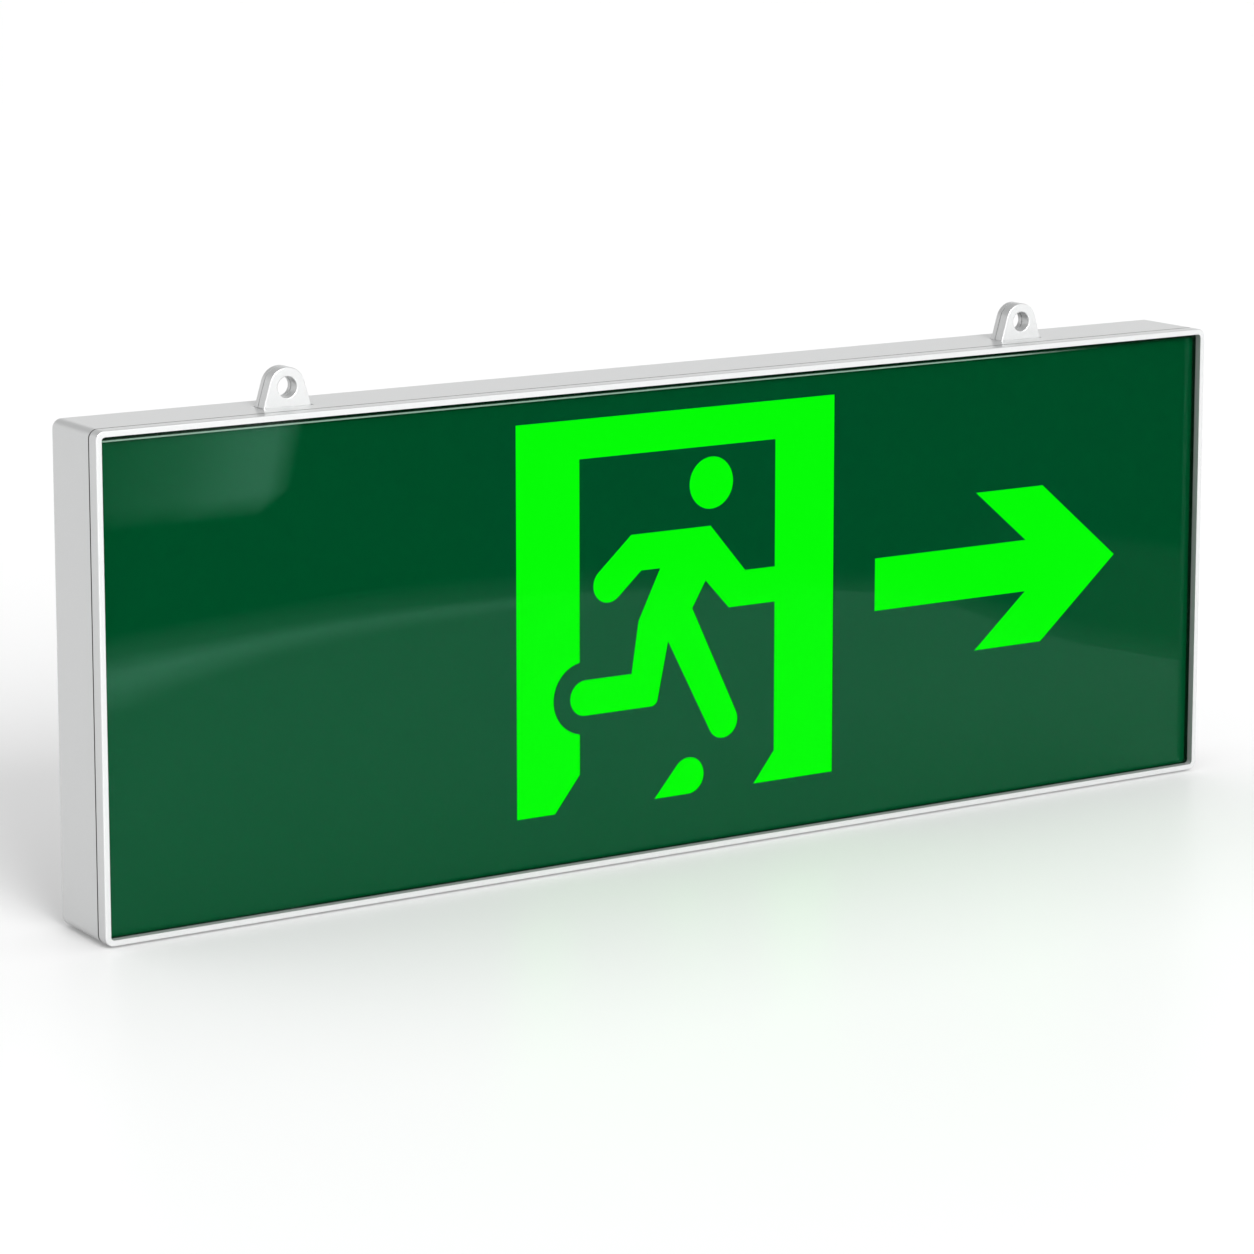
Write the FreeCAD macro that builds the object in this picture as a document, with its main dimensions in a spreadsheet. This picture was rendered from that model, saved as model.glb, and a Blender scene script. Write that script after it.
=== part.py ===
import FreeCAD, Part
import math
import os
import re
import Sketcher
from FreeCAD import Placement, Rotation, Vector

# Hanging emergency exit sign: a shallow moulded case with a printed, lit front,
# two hanger tabs that push down into the top, and the lamp gear inside.
# Millimetres. X along the sign, Y front to back (front face at -Y), Z up.
# The origin is the middle of the bottom face.

SIZES = {
    # moulded housing
    "case_width": 360, "case_height": 133, "case_depth": 27,
    "wall": 2.0, "back_wall": 2.2, "corner_radius": 2.5, "back_edge_radius": 2.0,
    # front bezel and the way it plugs into the case
    "bezel_depth": 4.0, "bezel_edge_radius": 0.35, "seam_gap": 0.45, "rim_thickness": 0.75,
    "spigot_reach": 3.5, "spigot_wall": 1.75, "fit_gap": 0.1,
    "lip_width": 1.6, "lip_recess": 2.0, "ledge_width": 2.9, "ledge_thickness": 1.2,
    # front stack
    "pane_thickness": 1.5, "pane_corner": 1.0, "film_thickness": 0.3, "glow_thickness": 1.0,
    # legend: the room between foot and head sets the door's height, and that the figure's scale
    "legend_foot": 13.9, "legend_head": 7.9, "legend_shift": -3.3,
    "arrow_gap": 14.3, "arrow_inset": 29.9, "arrow_height": 46.2, "arrow_shaft": 15.2,
    "arrow_flat": 24.3, "arrow_rise": 52.3,
    # light box
    "light_margin": 3.0, "tray_flange": 4.5, "tray_wall": 1.2, "tray_depth": 15.5, "tray_draft": 9.0,
    "led_board_thickness": 1.0, "led_board_inset": 1.5, "tray_screw_inset": 6.0, "lead_hole_inset": 4.0,
    "led_pitch": 15.0, "led_margin": 3.0, "led_width": 3.5, "led_height": 2.8, "led_rise": 0.8,
    "led_screw_gap": 1.35,
    # hanger tabs
    "ear_inset": 60, "ear_width": 14.1, "ear_thickness": 5.2, "ear_front_layer": 3.2,
    "ear_hole_height": 5.1, "ear_top_radius": 5.3, "ear_hole_radius": 2.75,
    "ear_groove_width": 0.35, "ear_groove_depth": 0.3, "ear_foot_width": 18, "ear_foot_height": 3.1,
    "ear_edge_radius": 0.35, "ear_gap": 0.25, "slot_side_gap": 0.55,
    "rail_wall": 4.2, "rail_rib": 1.5, "keeper_thickness": 1.5,
    # case screws, entered from the back at the four corners
    "corner_inset": 10.5, "boss_radius": 4.5, "boss_depth": 9.3, "screw_seat": 5.0,
    "screw_radius": 1.5, "screw_head_radius": 2.8, "screw_head_height": 2.0, "screw_bite": 7.0,
    "small_screw_radius": 1.0, "small_head_radius": 1.9, "small_head_height": 1.3,
    "screw_gap": 0.08, "screw_head_gap": 0.3, "screw_end_gap": 0.5, "back_skin": 1.2, "blind_gap": 0.2,
    "keeper_bite": 6.0,
    # back openings
    "keyhole_inset": 15, "keyhole_drop": 35, "keyhole_radius": 4.0, "keyhole_slot": 4.2,
    "keyhole_rise": 8.0, "entry_inset": 30, "entry_drop": 17, "entry_radius": 6.0, "grommet_bore": 4.0,
    "grommet_flange": 8.5, "grommet_recess": 1.0, "grommet_set": 0.05, "grommet_lip": 1.5,
    # driver board
    "board_inset": 24, "board_to_tray": 9, "board_to_grommet": 2, "board_to_battery": 11.8,
    "board_thickness": 1.6, "standoff": 4.7, "standoff_radius": 3.0, "board_hole_inset": 4.0,
    # parts on the driver board; "along" and "up" run from its lower left corner, "drop" from its top
    "core_along": 12, "core_up": 10, "core_width": 22, "core_length": 20, "core_height": 9, "core_lift": 1,
    "bobbin_along": 15, "bobbin_up": 6, "bobbin_width": 16, "bobbin_length": 28, "bobbin_height": 8.5,
    "capacitor_radius": 4.0, "capacitor_height": 10.5, "capacitor_bevel": 0.7,
    "terminal_along": 10, "terminal_drop": 13, "terminal_width": 21, "terminal_length": 10,
    "terminal_height": 10, "terminal_well": 1.9, "well_depth": 3.0, "wire_mouth": 3.4, "mouth_rise": 1.6,
    "fuse_along": 40, "fuse_drop": 12, "fuse_radius": 2.6, "fuse_length": 20, "fuse_cap": 5,
    "fuse_lift": 1.2, "fuse_glass_step": 0.2, "fuse_seat_gap": 0.02,
    "fuse_clip_width": 3.4, "fuse_clip_inset": 0.8, "fuse_clip_wall": 0.6,
    "socket_rise": 6, "socket_width": 7, "battery_socket_inset": 16, "battery_socket_up": 1,
    "battery_socket_width": 8, "lamp_socket_up": 30, "lamp_socket_length": 9,
    "panel_socket_up": 12, "panel_socket_length": 12,
    # battery pack: two cells end to end in one sleeve
    "cell_radius": 7.1, "cell_length": 46, "cell_edge": 1.6, "cell_waist": 0.5,
    "battery_inset": 5, "battery_base": 15.5,
    "clip_wall": 1.4, "clip_width": 8.0, "clip_gap": 0.1, "clip_inset": 22, "clip_foot_rise": 3.0,
    # test button and indicator lamps in the right-hand end
    "panel_height": 52, "indicator_pitch": 7.0, "indicator_radius": 1.5, "indicator_gap": 0.1,
    "button_radius": 3.0, "button_gap": 0.15, "button_flange": 4.5, "button_flange_thickness": 1.4,
    "button_travel": 1.0, "dish_radius": 6.5, "dish_depth": 0.6, "switch_height": 3.5,
    "plunger_radius": 1.6, "plunger_depth": 1.9, "switch_width": 6.0,
    "panel_board_set": 8.0, "panel_board_thickness": 1.6, "panel_board_reach": 4.0,
    "panel_board_margin": 7.0, "panel_rib_height": 5.0,
    "lamp_clearance": 5.0, "lamp_collar": 0.25, "lamp_collar_height": 0.8, "lamp_collar_gap": 0.4,
    "lamp_leg": 0.5, "lamp_leg_pitch": 1.8,
    "flush_gap": 0.2,
    # leads
    "lead_radius": 0.65, "lead_pitch": 1.8, "cable_radius": 1.3, "lead_rise": 9.0,
    "battery_lead_inset": 7.0, "battery_lead_rise": 4.5, "lamp_lead_run": 5.0,
    "cable_gap": 0.2, "cable_floor_gap": 1.5, "cable_panel_run": 9.0, "cable_board_run": 8.0, "cable_up": 6.0,
}

# Lines and stations that several pieces share, worked out from the sizes above.
LINES = {
    "left": "-case_width / 2", "right": "case_width / 2",
    "front": "-case_depth / 2", "back": "case_depth / 2", "back_inner": "back - back_wall",
    "top_inner": "case_height - wall",
    "seam": "front + bezel_depth", "rim": "seam + seam_gap", "rebate_floor": "seam + spigot_reach",
    "pane_front": "front + lip_recess", "pane_back": "pane_front + pane_thickness",
    "film_back": "pane_back + film_thickness", "ledge_back": "film_back + ledge_thickness",
    "glow_back": "film_back + glow_thickness",
    "opening_width": "case_width - 2 * lip_width", "opening_height": "case_height - 2 * lip_width",
    "spigot_inset": "rim_thickness + fit_gap",
    # legend
    "legend_height": "opening_height - legend_foot - legend_head",
    "legend_unit": "legend_height / 100", "legend_base": "lip_width + legend_foot",
    "door_left": "legend_shift - door_half * legend_unit",
    "door_right": "legend_shift + door_half * legend_unit",
    "door_top": "legend_base + legend_height",
    "arrow_tail": "door_right + arrow_gap", "arrow_tip": "right - arrow_inset",
    "arrow_axis": "legend_base + arrow_rise",
    # light box
    "tray_floor": "glow_back + tray_depth", "tray_back": "tray_floor + tray_wall",
    "led_board_front": "tray_floor - led_board_thickness",
    "door_cavity_left": "door_left - light_margin", "door_cavity_right": "door_right + light_margin",
    "door_cavity_low": "legend_base - light_margin", "door_cavity_high": "door_top + light_margin",
    "arrow_cavity_left": "arrow_tail - light_margin", "arrow_cavity_right": "arrow_tip + light_margin",
    "arrow_cavity_low": "arrow_axis - arrow_height / 2 - light_margin",
    "arrow_cavity_high": "arrow_axis + arrow_height / 2 + light_margin",
    "tray_left": "door_cavity_left - tray_flange", "tray_right": "arrow_cavity_right + tray_flange",
    "tray_low": "lip_width + ledge_width + flush_gap", "tray_high": "case_height - tray_low",
    # hanger tabs
    "ear_front": "-ear_thickness / 2", "ear_back": "ear_thickness / 2",
    "ear_offset": "case_width / 2 - ear_inset", "ear_travel": "ear_hole_height + ear_top_radius",
    "ear_hole_z": "case_height + ear_hole_height",
    "rail_half": "ear_foot_width / 2 + ear_gap", "rail_front": "ear_front - ear_gap",
    "stop_top": "top_inner - ear_foot_height - ear_travel - ear_gap",
    # case screws
    "boss_top": "back_inner - boss_depth", "seat": "back - screw_seat",
    "blind_end": "back - back_skin + blind_gap",
    "corner_x": "case_width / 2 - corner_inset", "corner_high": "case_height - corner_inset",
    # cable entry, battery and driver board
    "entry_x": "left + entry_inset", "entry_z": "case_height - entry_drop",
    "battery_left": "left + battery_inset", "battery_length": "2 * cell_length",
    "battery_z": "battery_base + cell_radius", "battery_top": "battery_z + cell_radius",
    "board_left": "left + board_inset", "board_back": "back_inner - standoff",
    "board_front": "board_back - board_thickness", "board_right": "tray_left - board_to_tray",
    "board_width": "board_right - board_left", "board_base": "battery_top + board_to_battery",
    "board_top": "entry_z - grommet_flange - board_to_grommet", "board_height": "board_top - board_base",
    "battery_y": "back_inner - clip_wall - clip_gap - cell_radius",
    "clip_screw_z": "battery_z + cell_radius + clip_wall + clip_foot_rise",
    # right-hand end
    "panel_board_left": "right - wall - panel_board_set - panel_board_thickness",
    "panel_board_right": "right - wall - panel_board_set",
    "panel_front": "-panel_board_reach", "panel_low": "panel_height - panel_board_margin",
    "lamp_low": "panel_height + button_flange + lamp_clearance",
    "panel_high": "lamp_low + 2 * indicator_pitch + panel_board_margin",
    "panel_rib_front": "switch_width / 2 + 1",
    "switch_face": "panel_board_right + switch_height",
    "button_face": "right - flush_gap", "flange_left": "right - wall - button_flange_thickness",
    "keyhole_x": "case_width / 2 - keyhole_inset", "keyhole_z": "case_height - keyhole_drop",
    # leads
    "lead_z": "arrow_axis + lead_rise", "lead_y": "(tray_back + back_inner) / 2",
    "socket_y": "board_front - socket_rise / 2",
}
DOOR_HALF = 48.3       # half the door's outer width, in hundredths of its height
DOOR_JAMB = 18.7
DOOR_LINTEL = 10.1
DOORWAY = DOOR_HALF - DOOR_JAMB
DRAWN_DOORWAY = 29.6   # half the doorway's width that the figure's points are given for
LIMB = 4.6             # half the width of an arm or leg
NAMED = {"door_half": DOOR_HALF}

ALONG_X = Rotation(Vector(0, 1, 0), 90)
ALONG_Y = Rotation(Vector(1, 0, 0), -90)
FACING_FRONT = Rotation(Vector(1, 0, 0), 90)   # a flat drawing stood up, its normal towards -Y
POINT_BACK, POINT_FRONT = ALONG_Y, FACING_FRONT   # which way a screw's point looks

doc = FreeCAD.newDocument("ExitSign")
nodes = []


# ---- document helpers ----------------------------------------------------------------------------

def make_sheet():
    sheet = doc.addObject("Spreadsheet::Sheet", "Sizes")
    for row, (word, value) in enumerate(SIZES.items(), start=1):
        sheet.set(f"A{row}", word)
        sheet.set(f"B{row}", str(value))
        sheet.setAlias(f"B{row}", word)
    return sheet


def formula(text):
    """Points each word of a size expression at the sheet or at the shared lines."""
    def where(match):
        word = match.group(0)
        if word in SIZES:
            return "Sizes." + word
        if word in LINES:
            return "Lines." + word
        return str(NAMED.get(word, word))
    return re.sub(r"[A-Za-z_]\w*", where, str(text))


def make_lines():
    """The shared lines, each bound to the sizes, and a probe that reads any size expression."""
    lines, probe = (doc.addObject("App::FeaturePython", name) for name in ("Lines", "Probe"))
    probe.addProperty("App::PropertyFloat", "reading")
    for word in LINES:
        lines.addProperty("App::PropertyFloat", word)
    doc.recompute()
    for word, text in LINES.items():
        lines.setExpression(word, formula(text))
        doc.recompute()
    return lines, probe


def number(text):
    """The value in millimetres of a size expression."""
    probe.setExpression("reading", formula(text))
    probe.recompute()
    return probe.reading


def bind(thing, **sizes):
    for name, text in sizes.items():
        thing.setExpression(name.replace("__", "."), formula(text))
    return thing


def node(name, thing):
    """Registers a finished piece under the name that its file gets."""
    thing.Label = name
    nodes.append(thing)
    return thing


def block(name, low, size):
    box = doc.addObject("Part::Box", name)
    return bind(box, Length=size[0], Width=size[1], Height=size[2], Placement__Base__x=low[0],
                Placement__Base__y=low[1], Placement__Base__z=low[2])


def rod(name, start, radius, length, turn=ALONG_Y):
    """A cylinder that starts at a point and runs along +X, +Y or +Z."""
    cylinder = doc.addObject("Part::Cylinder", name)
    cylinder.Placement = Placement(Vector(), turn)
    return bind(cylinder, Radius=radius, Height=length, Placement__Base__x=start[0],
                Placement__Base__y=start[1], Placement__Base__z=start[2])


def fuse(name, pieces):
    if len(pieces) == 1:
        return pieces[0]
    joined = doc.addObject("Part::MultiFuse", name)
    joined.Shapes = pieces
    return joined


def cut(name, base, tools):
    result = doc.addObject("Part::Cut", name)
    result.Base = base
    result.Tool = fuse(name + "_tools", tools)
    return result


def solid(name, shape):
    """A piece whose form comes from Part's own functions."""
    thing = doc.addObject("Part::Feature", name)
    thing.Shape = shape
    return thing


def origin_plane(body, role):
    return next(plane for plane in body.Origin.OriginFeatures if plane.Role == role)


def sketch(body, name, middle, offset, role="XZ_Plane"):
    """A sketch whose own origin lies at middle on an origin plane, moved along its normal."""
    drawing = body.newObject("Sketcher::SketchObject", name)
    drawing.AttachmentSupport = [(origin_plane(body, role), "")]
    drawing.MapMode = "FlatFace"
    return bind(drawing, AttachmentOffset__Base__x=middle[0], AttachmentOffset__Base__y=middle[1],
                AttachmentOffset__Base__z=offset)


def hold(drawing, constraint, name, text):
    index = drawing.addConstraint(constraint)
    drawing.renameConstraint(index, name)
    drawing.setExpression("Constraints." + name, formula(text))


def rectangle(drawing, name, width, height, radius=None):
    """A rectangle about the sketch's origin, its corners rounded if a radius is given."""
    a, b = number(width) / 2, number(height) / 2
    r = number(radius) if radius else 0
    ends = [((r - a, -b), (a - r, -b)), ((a, r - b), (a, b - r)),
            ((a - r, b), (r - a, b)), ((-a, b - r), (-a, r - b))]
    centres = [(a - r, r - b), (a - r, b - r), (r - a, b - r), (r - a, r - b)]
    first = drawing.GeometryCount
    for start, end in ends:
        drawing.addGeometry(Part.LineSegment(Vector(*start), Vector(*end)))
    if r:
        for quarter, (x, y) in enumerate(centres):
            round_edge = Part.Circle(Vector(x, y), Vector(0, 0, 1), r)
            turn = math.radians(90 * quarter - 90)
            drawing.addGeometry(Part.ArcOfCircle(round_edge, turn, turn + math.pi / 2))
    for side in range(4):
        following = first + (side + 1) % 4
        if r:
            drawing.addConstraint(Sketcher.Constraint("Tangent", first + side, 2, first + 4 + side, 1))
            drawing.addConstraint(Sketcher.Constraint("Tangent", first + 4 + side, 2, following, 1))
        else:
            drawing.addConstraint(Sketcher.Constraint("Coincident", first + side, 2, following, 1))
    for side, way in enumerate(["Horizontal", "Vertical", "Horizontal", "Vertical"]):
        drawing.addConstraint(Sketcher.Constraint(way, first + side))
    if r:
        for arc in (5, 6, 7):
            drawing.addConstraint(Sketcher.Constraint("Equal", first + 4, first + arc))
        hold(drawing, Sketcher.Constraint("Radius", first + 4, r), name + "_radius", radius)
    hold(drawing, Sketcher.Constraint("DistanceX", first + 3, 1, first + 1, 1, 2 * a), name + "_width", width)
    hold(drawing, Sketcher.Constraint("DistanceY", first, 1, first + 2, 1, 2 * b), name + "_height", height)
    hold(drawing, Sketcher.Constraint("DistanceX", -1, 1, first + 1, 1, a), name + "_right", f"({width}) / 2")
    hold(drawing, Sketcher.Constraint("DistanceY", -1, 1, first + 2, 1, b), name + "_top", f"({height}) / 2")


def feature(body, kind, name, drawing, length):
    """A Pad or Pocket of a drawing; on the XZ plane a Pad runs to -Y and a Pocket to +Y."""
    before = body.Shape.Volume if body.Tip else 0
    step = body.newObject("PartDesign::" + kind, name)
    step.Profile = drawing
    bind(step, Length=length)
    doc.recompute()
    grown = body.Shape.Volume - before
    if (grown <= 0) == (kind == "Pad"):
        raise RuntimeError(f"{body.Name}: {name} changed nothing")
    return step


def round_edges(body, name, radius, chosen):
    """Fillets the edges of the body's tip that the test picks."""
    tip = body.Tip
    edges = [f"Edge{i}" for i, edge in enumerate(tip.Shape.Edges, start=1) if chosen(edge)]
    fillet = body.newObject("PartDesign::Fillet", name)
    fillet.Base = (tip, edges)
    bind(fillet, Radius=radius)
    doc.recompute()
    return fillet


def at_y(edge, line):
    box = edge.BoundBox
    return abs(box.YMin - number(line)) < 1e-4 and box.YLength < 1e-4


# ---- legend: a running figure in a doorway, and an arrow -----------------------------------------

def drawn(stops, scale=1):
    """Edges of a closed outline: a stop is a point, or a pair (point on the arc, its end)."""
    points = [stop if isinstance(stop, Vector) else stop[1] for stop in stops]
    edges = []
    for index, stop in enumerate(stops):
        start, end = points[index - 1] * scale, points[index] * scale
        if isinstance(stop, Vector):
            edges.append(Part.LineSegment(start, end))
        else:
            edges.append(Part.Arc(start, stop[0] * scale, end))
    return edges


def tangent_point(point, centre, radius, side):
    """Where a line from a point touches a circle, on the side given by +1 or -1."""
    reach = point - centre
    angle = math.atan2(reach.y, reach.x) + side * math.acos(radius / reach.Length)
    return centre + Vector(math.cos(angle), math.sin(angle)) * radius


def cap(before, centre, radius, after):
    """The stops of a round end between two straight edges, taken clockwise."""
    start = tangent_point(before, centre, radius, -1)
    end = tangent_point(after, centre, radius, 1)
    first, last = (math.atan2(point.y - centre.y, point.x - centre.x) for point in (start, end))
    middle = first - (first - last) % (2 * math.pi) / 2
    return start, (centre + Vector(math.cos(middle), math.sin(middle)) * radius, end)


def at(x, y):
    """A point of the figure: its x follows the doorway's width."""
    return Vector(x * DOORWAY / DRAWN_DOORWAY, y)


def door_outline(unit):
    notch, notch_radius = at(-28, 28.9), 9.35
    rise = math.sqrt(notch_radius ** 2 - (DOORWAY + notch.x) ** 2)
    return drawn([
        Vector(-DOOR_HALF, 0), Vector(-DOOR_HALF, 100), Vector(DOOR_HALF, 100), Vector(DOOR_HALF, 0),
        at(23.2, 0), Vector(DOORWAY, 8.1), Vector(DOORWAY, 100 - DOOR_LINTEL),
        Vector(-DOORWAY, 100 - DOOR_LINTEL), Vector(-DOORWAY, notch.y + rise),
        (Vector(notch.x - notch_radius, notch.y), Vector(-DOORWAY, notch.y - rise)),
        Vector(-DOORWAY, 9.3), at(-37.0, 0)], unit)


def runner_outline(unit):
    left_shoulder, right_shoulder = at(-14.4, 69.3), at(9.8, 69.3)
    elbow_top, elbow_low, armpit = at(20.5, 56.7), at(15.4, 47.4), at(8.3, 55.1)
    post = DOORWAY + 1                        # the hand runs on into the doorway's post
    waist, crotch, front_foot = at(4.3, 48.4), at(-3.1, 40.4), at(13.7, 18.0)
    back_foot, knee_radius = at(-28, 28.9), 2.0
    knee = at(-8.2, back_foot.y - LIMB + knee_radius)
    knee_pit, hip, underarm = at(-14.3, back_foot.y + LIMB), at(-12.2, 46.9), at(-5.7, 59.8)
    elbow_back, hand = at(-11.2, 59.8), at(-21.1, 57.2)
    knee_start = tangent_point(crotch, knee, knee_radius, -1)
    knee_side = Vector(knee.x + knee_radius * math.cos(math.radians(-50)),
                       knee.y + knee_radius * math.sin(math.radians(-50)))
    return drawn([
        left_shoulder, right_shoulder, elbow_top, Vector(post, elbow_top.y), Vector(post, elbow_low.y),
        elbow_low, armpit, waist, *cap(waist, front_foot, LIMB, crotch), crotch,
        knee_start, (knee_side, Vector(knee.x, knee.y - knee_radius)),
        Vector(back_foot.x, back_foot.y - LIMB),
        (Vector(back_foot.x - LIMB, back_foot.y), Vector(back_foot.x, back_foot.y + LIMB)),
        knee_pit, hip, underarm, elbow_back, *cap(elbow_back, hand, LIMB, left_shoulder)], unit)


def heel_outline(unit):
    """The trailing shape on the floor under the figure."""
    centre, radius, tip = at(3.1, 4.8), 4.8, at(-7.4, 0)
    start = tangent_point(tip, centre, radius, -1)
    return drawn([tip, start, (centre + Vector(radius, 0), centre - Vector(0, radius))], unit)


def head_outline(unit):
    return [Part.Circle(at(9.95, 80.4) * unit, Vector(0, 0, 1), 6.75 * unit)]


def arrow_outline():
    head, shaft = number("arrow_height / 2"), number("arrow_shaft / 2")
    tail, tip, flat = number("arrow_tail"), number("arrow_tip"), number("arrow_flat")
    slope = 1.17                               # run over rise of the head's slanted edges
    back_corner = tip - slope * head - flat
    neck = back_corner + slope * (head - shaft)
    upper = [Vector(tail, shaft), Vector(neck, shaft), Vector(back_corner, head),
             Vector(back_corner + flat, head)]
    lower = [Vector(point.x, -point.y) for point in reversed(upper)]
    return drawn([*upper, Vector(tip, 0), *lower])


def window(name, outline, middle):
    """A prism through the film, standing on an outline drawn about a point of the sign."""
    drawing = doc.addObject("Sketcher::SketchObject", name + "_outline")
    drawing.addGeometry(outline, False)
    drawing.Placement = Placement(Vector(), FACING_FRONT)
    bind(drawing, Placement__Base__x=middle[0], Placement__Base__y="film_back + 1",
         Placement__Base__z=middle[1])
    prism = doc.addObject("Part::Extrusion", name)
    prism.Base = drawing
    prism.DirMode = "Normal"
    prism.Solid = True
    return bind(prism, LengthFwd="film_thickness + 2")


# ---- front: bezel, pane, film, glow sheet --------------------------------------------------------

def front_bezel():
    body = doc.addObject("PartDesign::Body", "bezel_frame")
    middle = ("0", "case_height / 2")
    flange = sketch(body, "flange_outline", middle, "-seam")
    rectangle(flange, "outer", "case_width", "case_height", "corner_radius")
    feature(body, "Pad", "flange", flange, "bezel_depth")
    round_edges(body, "front_edge", "bezel_edge_radius", lambda edge: at_y(edge, "front"))
    ledge = sketch(body, "ledge_outline", middle, "-rebate_floor")
    rectangle(ledge, "outer", "case_width - 2 * spigot_inset", "case_height - 2 * spigot_inset",
              "corner_radius - spigot_inset")
    feature(body, "Pad", "spigot", ledge, "rebate_floor - film_back")
    recess = sketch(body, "recess_outline", middle, "-front")
    rectangle(recess, "opening", "opening_width", "opening_height", "pane_corner")
    feature(body, "Pocket", "recess", recess, "film_back - front")
    light = sketch(body, "light_outline", middle, "-film_back")
    rectangle(light, "inner", "opening_width - 2 * ledge_width", "opening_height - 2 * ledge_width")
    feature(body, "Pocket", "light_opening", light, "rebate_floor - film_back")
    hollow = sketch(body, "hollow_outline", middle, "-ledge_back")
    inset = "(spigot_inset + spigot_wall)"
    rectangle(hollow, "inner", f"case_width - 2 * {inset}", f"case_height - 2 * {inset}")
    feature(body, "Pocket", "spigot_hollow", hollow, "rebate_floor - ledge_back")
    posts, holes = [], []
    for x, z in corners():
        pad_x = f"({x}) - boss_radius"
        posts.append(block("corner_pad", (pad_x, "film_back", f"({z}) - boss_radius"),
                           ("2 * boss_radius", "ledge_thickness", "2 * boss_radius")))
        side = "left + lip_width" if x.startswith("-") else f"({x})"
        posts.append(block("side_tie", (side, "film_back", f"({z}) - boss_radius"),
                           ("corner_inset - lip_width", "ledge_thickness", "2 * boss_radius")))
        base = "lip_width" if z == "corner_inset" else f"({z})"
        posts.append(block("end_tie", (pad_x, "film_back", base),
                           ("2 * boss_radius", "ledge_thickness", "corner_inset - lip_width")))
        posts.append(rod("screw_post", (x, "film_back", z), "boss_radius - 1", "boss_top - film_back"))
        holes.append(rod("pilot_hole", (x, "boss_top - screw_bite", z), "screw_radius + screw_gap",
                         "screw_bite"))
    return node("front_bezel", cut("bezel", fuse("bezel_with_posts", [body, *posts]), holes))


def corners():
    return [(x, z) for x in ("-corner_x", "corner_x") for z in ("corner_inset", "corner_high")]


def sheet_body(name, width, height, radius, y_line, thickness, middle=("0", "case_height / 2")):
    """A flat sheet lying across the front, its rear face on a line."""
    body = doc.addObject("PartDesign::Body", name)
    drawing = sketch(body, name + "_outline", middle, f"-({y_line})")
    rectangle(drawing, "sheet", width, height, radius)
    feature(body, "Pad", name + "_pad", drawing, thickness)
    return body


def front_stack():
    gap = "2 * fit_gap"
    wide, tall = f"opening_width - {gap}", f"opening_height - {gap}"
    node("sign_pane", sheet_body("pane", wide, tall, "pane_corner", "pane_back", "pane_thickness"))
    blank = sheet_body("film_blank", wide, tall, "pane_corner", "film_back", "film_thickness")
    unit, door = number("legend_unit"), ("legend_shift", "legend_base")
    windows = [
        window("door_window", door_outline(unit), door),
        window("runner_window", runner_outline(unit), door),
        window("head_window", head_outline(unit), door),
        window("heel_window", heel_outline(unit), door),
        window("arrow_window", arrow_outline(), ("0", "arrow_axis"))]
    node("legend_film", cut("printed_film", blank, windows))
    middle = ("(tray_left + tray_right) / 2", "case_height / 2")
    node("glow_sheet", sheet_body("glow", "tray_right - tray_left", "tray_high - tray_low", "pane_corner",
                                  "glow_back", "glow_thickness", middle))


# ---- light box -----------------------------------------------------------------------------------

BOARD_MARGIN = "(tray_draft + led_board_inset)"     # the lamp boards' edges, in from the cavity's mouth
SCREW_MARGIN = "(tray_draft + tray_screw_inset)"
SMALL_HOLE = "small_screw_radius + screw_gap"


def cavity(name, kind, grow):
    """A tapered box of light behind one part of the legend; grow thickens it all round."""
    wedge = doc.addObject("Part::Wedge", name)
    low, high = f"{kind}_cavity_low - {grow}", f"{kind}_cavity_high + {grow}"
    west, east = f"{kind}_cavity_left - {grow}", f"{kind}_cavity_right + {grow}"
    return bind(wedge, Xmin=west, Xmax=east, Zmin=low, Zmax=high, X2min=west + " + tray_draft",
                X2max=east + " - tray_draft", Z2min=low + " + tray_draft",
                Z2max=high + " - tray_draft", Ymin="glow_back", Ymax=f"tray_floor + {grow}")


def tray_screw_places():
    """Screws through the lamp boards: the door board's four corners, the arrow board's two ends."""
    door = [(x, z) for x in (f"door_cavity_left + {SCREW_MARGIN}", f"door_cavity_right - {SCREW_MARGIN}")
            for z in (f"door_cavity_low + {SCREW_MARGIN}", f"door_cavity_high - {SCREW_MARGIN}")]
    arrow = [(x, "arrow_axis")
             for x in (f"arrow_cavity_left + {SCREW_MARGIN}", f"arrow_cavity_right - {SCREW_MARGIN}")]
    return door, arrow


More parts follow.
